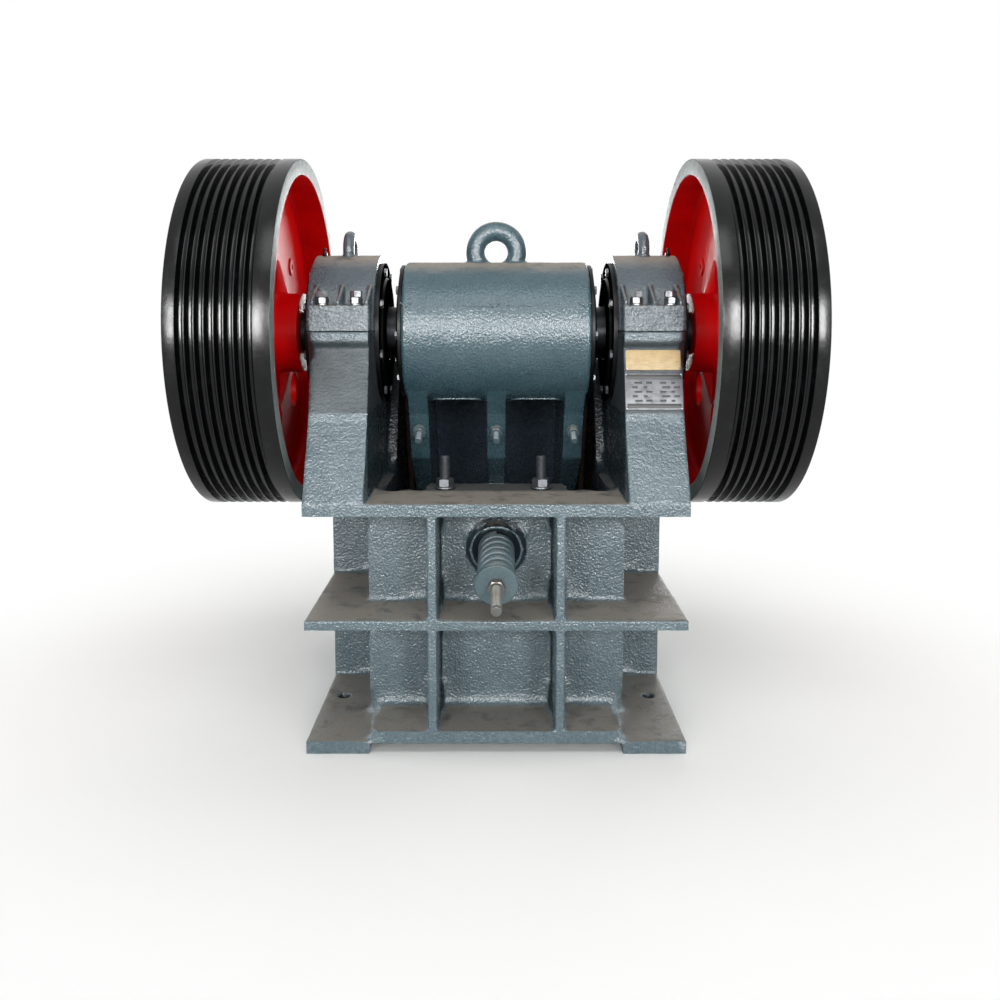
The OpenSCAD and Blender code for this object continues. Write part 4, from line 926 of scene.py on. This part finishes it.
# Adjusting studs: two long studs that pull the toggle block down through the upper flange,
# each with a thick washer and a hexagon nut.
adjusting_stud = joined("adjusting_stud", threaded_bar("bar", 0.03, 0.0035, 0.29),
                        copy_of(washer("washer", 0.031, 0.06, 0.005), "washer_at_flange",
                                Matrix.Translation((0.1953, 0, 0))),
                        copy_of(hexagon("nut", 0.046, 0.024), "nut_at_flange",
                                Matrix.Translation((0.2003, 0, 0))))
for name in ("washer", "nut"):
    bpy.data.objects.remove(bpy.data.objects[name])
for number, x in enumerate((-0.151, 0.131)):
    stud = copy_of(adjusting_stud, f"adjusting_stud_{number + 1}",
                   Matrix.Translation((x, -0.452, 0.505))
                   @ Matrix.Rotation(0.45 + 0.25 * number, 4, "Z") @ UP)
    stud.data.materials.append(dull_zinc)
    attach(stud, "frame")
    if number == 0:
        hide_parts("adjusting_studs")
bpy.data.objects.remove(adjusting_stud)

# Tension rod: a drawn bar from the fork on the pitman through the rear wall, threaded at its
# end, with a washer and a nut that hold the spring. The bar is bare and a little rusty.
ROD_LINE = (Matrix.Translation(boss_foot) @ Matrix.Rotation(rod_slope, 4, "X")
            @ Matrix.Rotation(-math.pi / 2, 4, "Z"))
rusty_bar = raw_casting("rusty drawn bar", "#656663", "#584e43", 0.38, relief=0.0006)
for node in ("tension_rod", "rod_pin"):
    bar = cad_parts[node]
    bar.data.materials.clear()
    bar.data.materials.append(rusty_bar)
thread = threaded_bar("rod_thread", 0.0285, 0.003, 0.1355)
end_burr = turned("end_burr", [(0, 0.1355), (0.0136, 0.1355), (0.0144, 0.139, 0.001),
                               (0.0118, 0.1432, 0.002), (0, 0.1434)], (0, 0), steps=32)
rod_end = joined("rod_thread", thread, end_burr)
rod_end.data.transform(ROD_LINE @ Matrix.Translation((0.2492, 0, 0)))
rod_end.data.materials.append(rusty_bar)
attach(rod_end, "jaw")

spring_plate = turned("spring_washer_disc", [(0.0137, 0.2366), (0.056, 0.2366, 0.0015),
                                             (0.058, 0.2396, 0.001), (0.058, 0.2456, 0.002),
                                             (0.0555, 0.2486, 0.0015), (0.0137, 0.2486)],
                      (0, 0), steps=96)
spring_plate.data.transform(ROD_LINE)
spring_plate.data.materials.append(painted_steel)
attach(spring_plate, "jaw")
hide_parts("spring_washer")

rod_nut = hexagon("rod_nut", 0.041, 0.022)
rod_nut.data.transform(ROD_LINE @ Matrix.Translation((0.2489, 0, 0)))
rod_nut.data.materials.append(rusty_bar)
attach(rod_nut, "jaw")
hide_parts("rod_nuts")

# Spring: a compression spring wound from round bar, closed and ground flat at both ends,
# and painted grey-green.
def coil(start, pitch, turns):
    """Some turns of the spring, its wire swept up along +X from start."""
    round_wire = [(start + 0.009 * math.cos(angle), 0, 0.0435 + 0.009 * math.sin(angle))
                  for angle in np.linspace(0, 2 * math.pi, 15)[:-1]]
    piece = drawn("coil", round_wire + round_wire[:1])
    bpy.ops.object.mode_set(mode="OBJECT")
    modify(piece, "SCREW", axis="X", screw_offset=pitch, iterations=turns, steps=40,
           render_steps=40)
    return piece


closed, opened = 0.0184, 0.0362
spring = joined("spring_coils", coil(0.0075, closed, 1), coil(0.0075 + closed, opened, 5),
                coil(0.0075 + closed + 5 * opened, closed, 1))
pick(spring)
bpy.ops.object.mode_set(mode="EDIT")
bpy.ops.mesh.select_all(action="SELECT")
bpy.ops.mesh.remove_doubles(threshold=1e-5)
bpy.ops.mesh.fill_holes(sides=0)
for end_x, outward in ((0.0003, -1), (0.2363, 1)):
    bpy.ops.mesh.select_all(action="SELECT")
    bpy.ops.mesh.bisect(plane_co=(end_x, 0, 0), plane_no=(outward, 0, 0), use_fill=True,
                        clear_outer=True)
bpy.ops.mesh.select_all(action="SELECT")
bpy.ops.mesh.normals_make_consistent(inside=False)
bpy.ops.object.mode_set(mode="OBJECT")
bpy.ops.object.shade_smooth_by_angle(angle=math.radians(40))
spring.data.transform(ROD_LINE)
spring.data.materials.append(painted_steel)
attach(spring, "jaw")
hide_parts("tension_spring")

# Nameplate and notice plate: an etched aluminium plate and a cream one, riveted on the
# sloping face of the right-hand pedestal. Both are blank.
def flat_plate(name, low, high, thickness, corner):
    """A plate in the XZ plane, its front face at y = 0, with cut corners and a fine edge."""
    deselect()
    middle = [(a + b) / 2 for a, b in zip(low, high)]
    bpy.ops.mesh.primitive_cube_add(size=1, location=(middle[0], thickness / 2, middle[1]),
                                    scale=(high[0] - low[0], thickness, high[1] - low[1]))
    plate = bpy.context.object
    plate.name = plate.data.name = name
    bpy.ops.object.transform_apply()
    bpy.ops.object.mode_set(mode="EDIT")
    bpy.ops.mesh.select_all(action="DESELECT")
    bpy.ops.object.mode_set(mode="OBJECT")
    for edge in plate.data.edges:
        ends = [plate.data.vertices[v].co for v in edge.vertices]
        edge.select = abs(ends[0].y - ends[1].y) > 0.5 * thickness
    bpy.ops.object.mode_set(mode="EDIT")
    bpy.ops.mesh.bevel(offset=corner, segments=3, affect="EDGES")
    bpy.ops.object.mode_set(mode="OBJECT")
    modify(plate, "BEVEL", width=min(0.0004, 0.3 * thickness), segments=2, limit_method="ANGLE")
    pick(plate)
    bpy.ops.object.shade_smooth_by_angle(angle=math.radians(30))
    return plate


def plate_finish(name, body, worn, metallic, roughness):
    """A plate's face: brushed metal or baked cream paint, with fine level scratches, handling
    stains and a slightly uneven shine."""
    finish, tree, shader, where = new_finish(name)
    place = where["Object"]
    # Scratches 2 mm high and 30 mm long, coarser than the real ones so that they show.
    level = add_node(tree, "Mapping", {"Vector": place, "Scale": (30, 30, 480)}).outputs[0]
    brushed = add_node(tree, "TexNoise", {"Vector": level, "Scale": 1, "Detail": 2}).outputs[0]
    stain = add_node(tree, "TexNoise", {"Vector": place, "Scale": 45, "Detail": 5}).outputs[0]
    mark = add_node(tree, "Math", {0: brushed, 1: stain}, operation="MULTIPLY").outputs[0]
    handled = add_node(tree, "MapRange", {"Value": mark, "From Min": 0.2, "From Max": 0.36})
    tint = add_node(tree, "Mix", {0: handled.outputs[0], 6: linear(body), 7: linear(worn)},
                    data_type="RGBA").outputs[2]
    tree.links.new(tint, shader.inputs["Base Color"])
    gloss = add_node(tree, "MapRange", {"Value": stain, "To Min": roughness - 0.1,
                                        "To Max": roughness + 0.1}).outputs[0]
    tree.links.new(gloss, shader.inputs["Roughness"])
    skin = add_node(tree, "Bump", {"Height": brushed, "Strength": 0.2, "Distance": 0.0003})
    tree.links.new(skin.outputs[0], shader.inputs["Normal"])
    shader.inputs["Metallic"].default_value = metallic
    return finish


plate_metal = plate_finish("etched aluminium", "#5f6164", "#494c4f", 0.5, 0.5)
plate_ink = plate_finish("black printing ink", "#0b0b0c", "#1a1a1b", 0.0, 0.5)
plate_cream = plate_finish("baked cream paint", "#bba371", "#a88f60", 0.0, 0.5)
rivet = turned("rivet", [(0, 0), (0.0032, 0, 0.0003), (0.0026, -0.0011, 0.0008), (0, -0.0016)],
               (0, 0), steps=20)
rivet.data.transform(Matrix.Rotation(math.pi / 2, 4, "Z"))
pedestal_lean = math.radians(-16.4)
PLATES = [
    # name, slot, lower and upper corner on the face, foot of the face, finish
    ("nameplate", "label_metal", (0.360, 0.0), (0.523, 0.1068), (-0.5776, 0.9425), plate_metal),
    ("notice_plate", "label_cream", (0.364, 0.0), (0.519, 0.0580), (-0.5452, 1.0525), plate_cream),
]
for name, slot, low, high, foot, finish in PLATES:
    parts = [flat_plate(name + "_face", low, high, 0.0017, 0.002)]
    parts[0].data.materials.append(finish)
    if name == "nameplate":
        left, right, top = low[0] + 0.006, high[0] - 0.006, high[1]
        fields = [(left, top - 0.018, right, top - 0.006), (left, 0.006, right, 0.018)]
        for row in range(5):
            floor_z = 0.0235 + 0.0128 * row
            for start, length in ((0.024, 0.018), (0.056, 0.013), (0.101, 0.020),
                                  (0.133, 0.014)):
                jog = 0.004 * math.sin(3.1 * row + 40 * start)
                fields.append((low[0] + start + jog, floor_z, low[0] + start + length + 2 * jog,
                               floor_z + 0.006))
        for x0, z0, x1, z1 in fields:
            field = flat_plate("field", (x0, z0), (x1, z1), 0.0006, 0.0015)
            field.data.transform(Matrix.Translation((0, -0.00025, 0)))
            field.data.materials.append(plate_ink)
            parts.append(field)
    for x in (low[0] + 0.0045, high[0] - 0.0045):
        for z in (0.0045, high[1] - 0.0045):
            head = copy_of(rivet, "head", Matrix.Translation((x, 0, z)))
            head.data.materials.append(zinc)
            parts.append(head)
    plate = joined(name + "_plate", *parts)
    plate.data.transform(Matrix.Translation((0, *foot)) @ Matrix.Rotation(pedestal_lean, 4, "X"))
    pick(plate)
    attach(plate, "frame")
    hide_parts(name)
bpy.data.objects.remove(rivet)

# Grease fittings: a hexagon nipple with a ball head screwed into the top of each cap, dark
# with old grease.
for side, hand in (("left", -1), ("right", 1)):
    nipple = joined("grease_nipple_" + side, hexagon("base", 0.014, 0.009),
                    turned("stem", [(0, 0.0085), (0.0055, 0.0085), (0.005, 0.012, 0.001),
                                    (0.0032, 0.0155, 0.001), (0.0032, 0.018, 0.0008),
                                    (0.0046, 0.0205, 0.0015), (0.0036, 0.0238, 0.0012),
                                    (0, 0.0242)], (0, 0), steps=28))
    nipple.data.transform(Matrix.Translation((hand * 0.522, -0.2814, 1.3846))
                          @ Matrix.Rotation(math.radians(10), 4, "X") @ UP)
    nipple.data.materials.append(dark_steel)
    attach(nipple, "frame")
    if side == "left":
        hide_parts("grease_fittings")
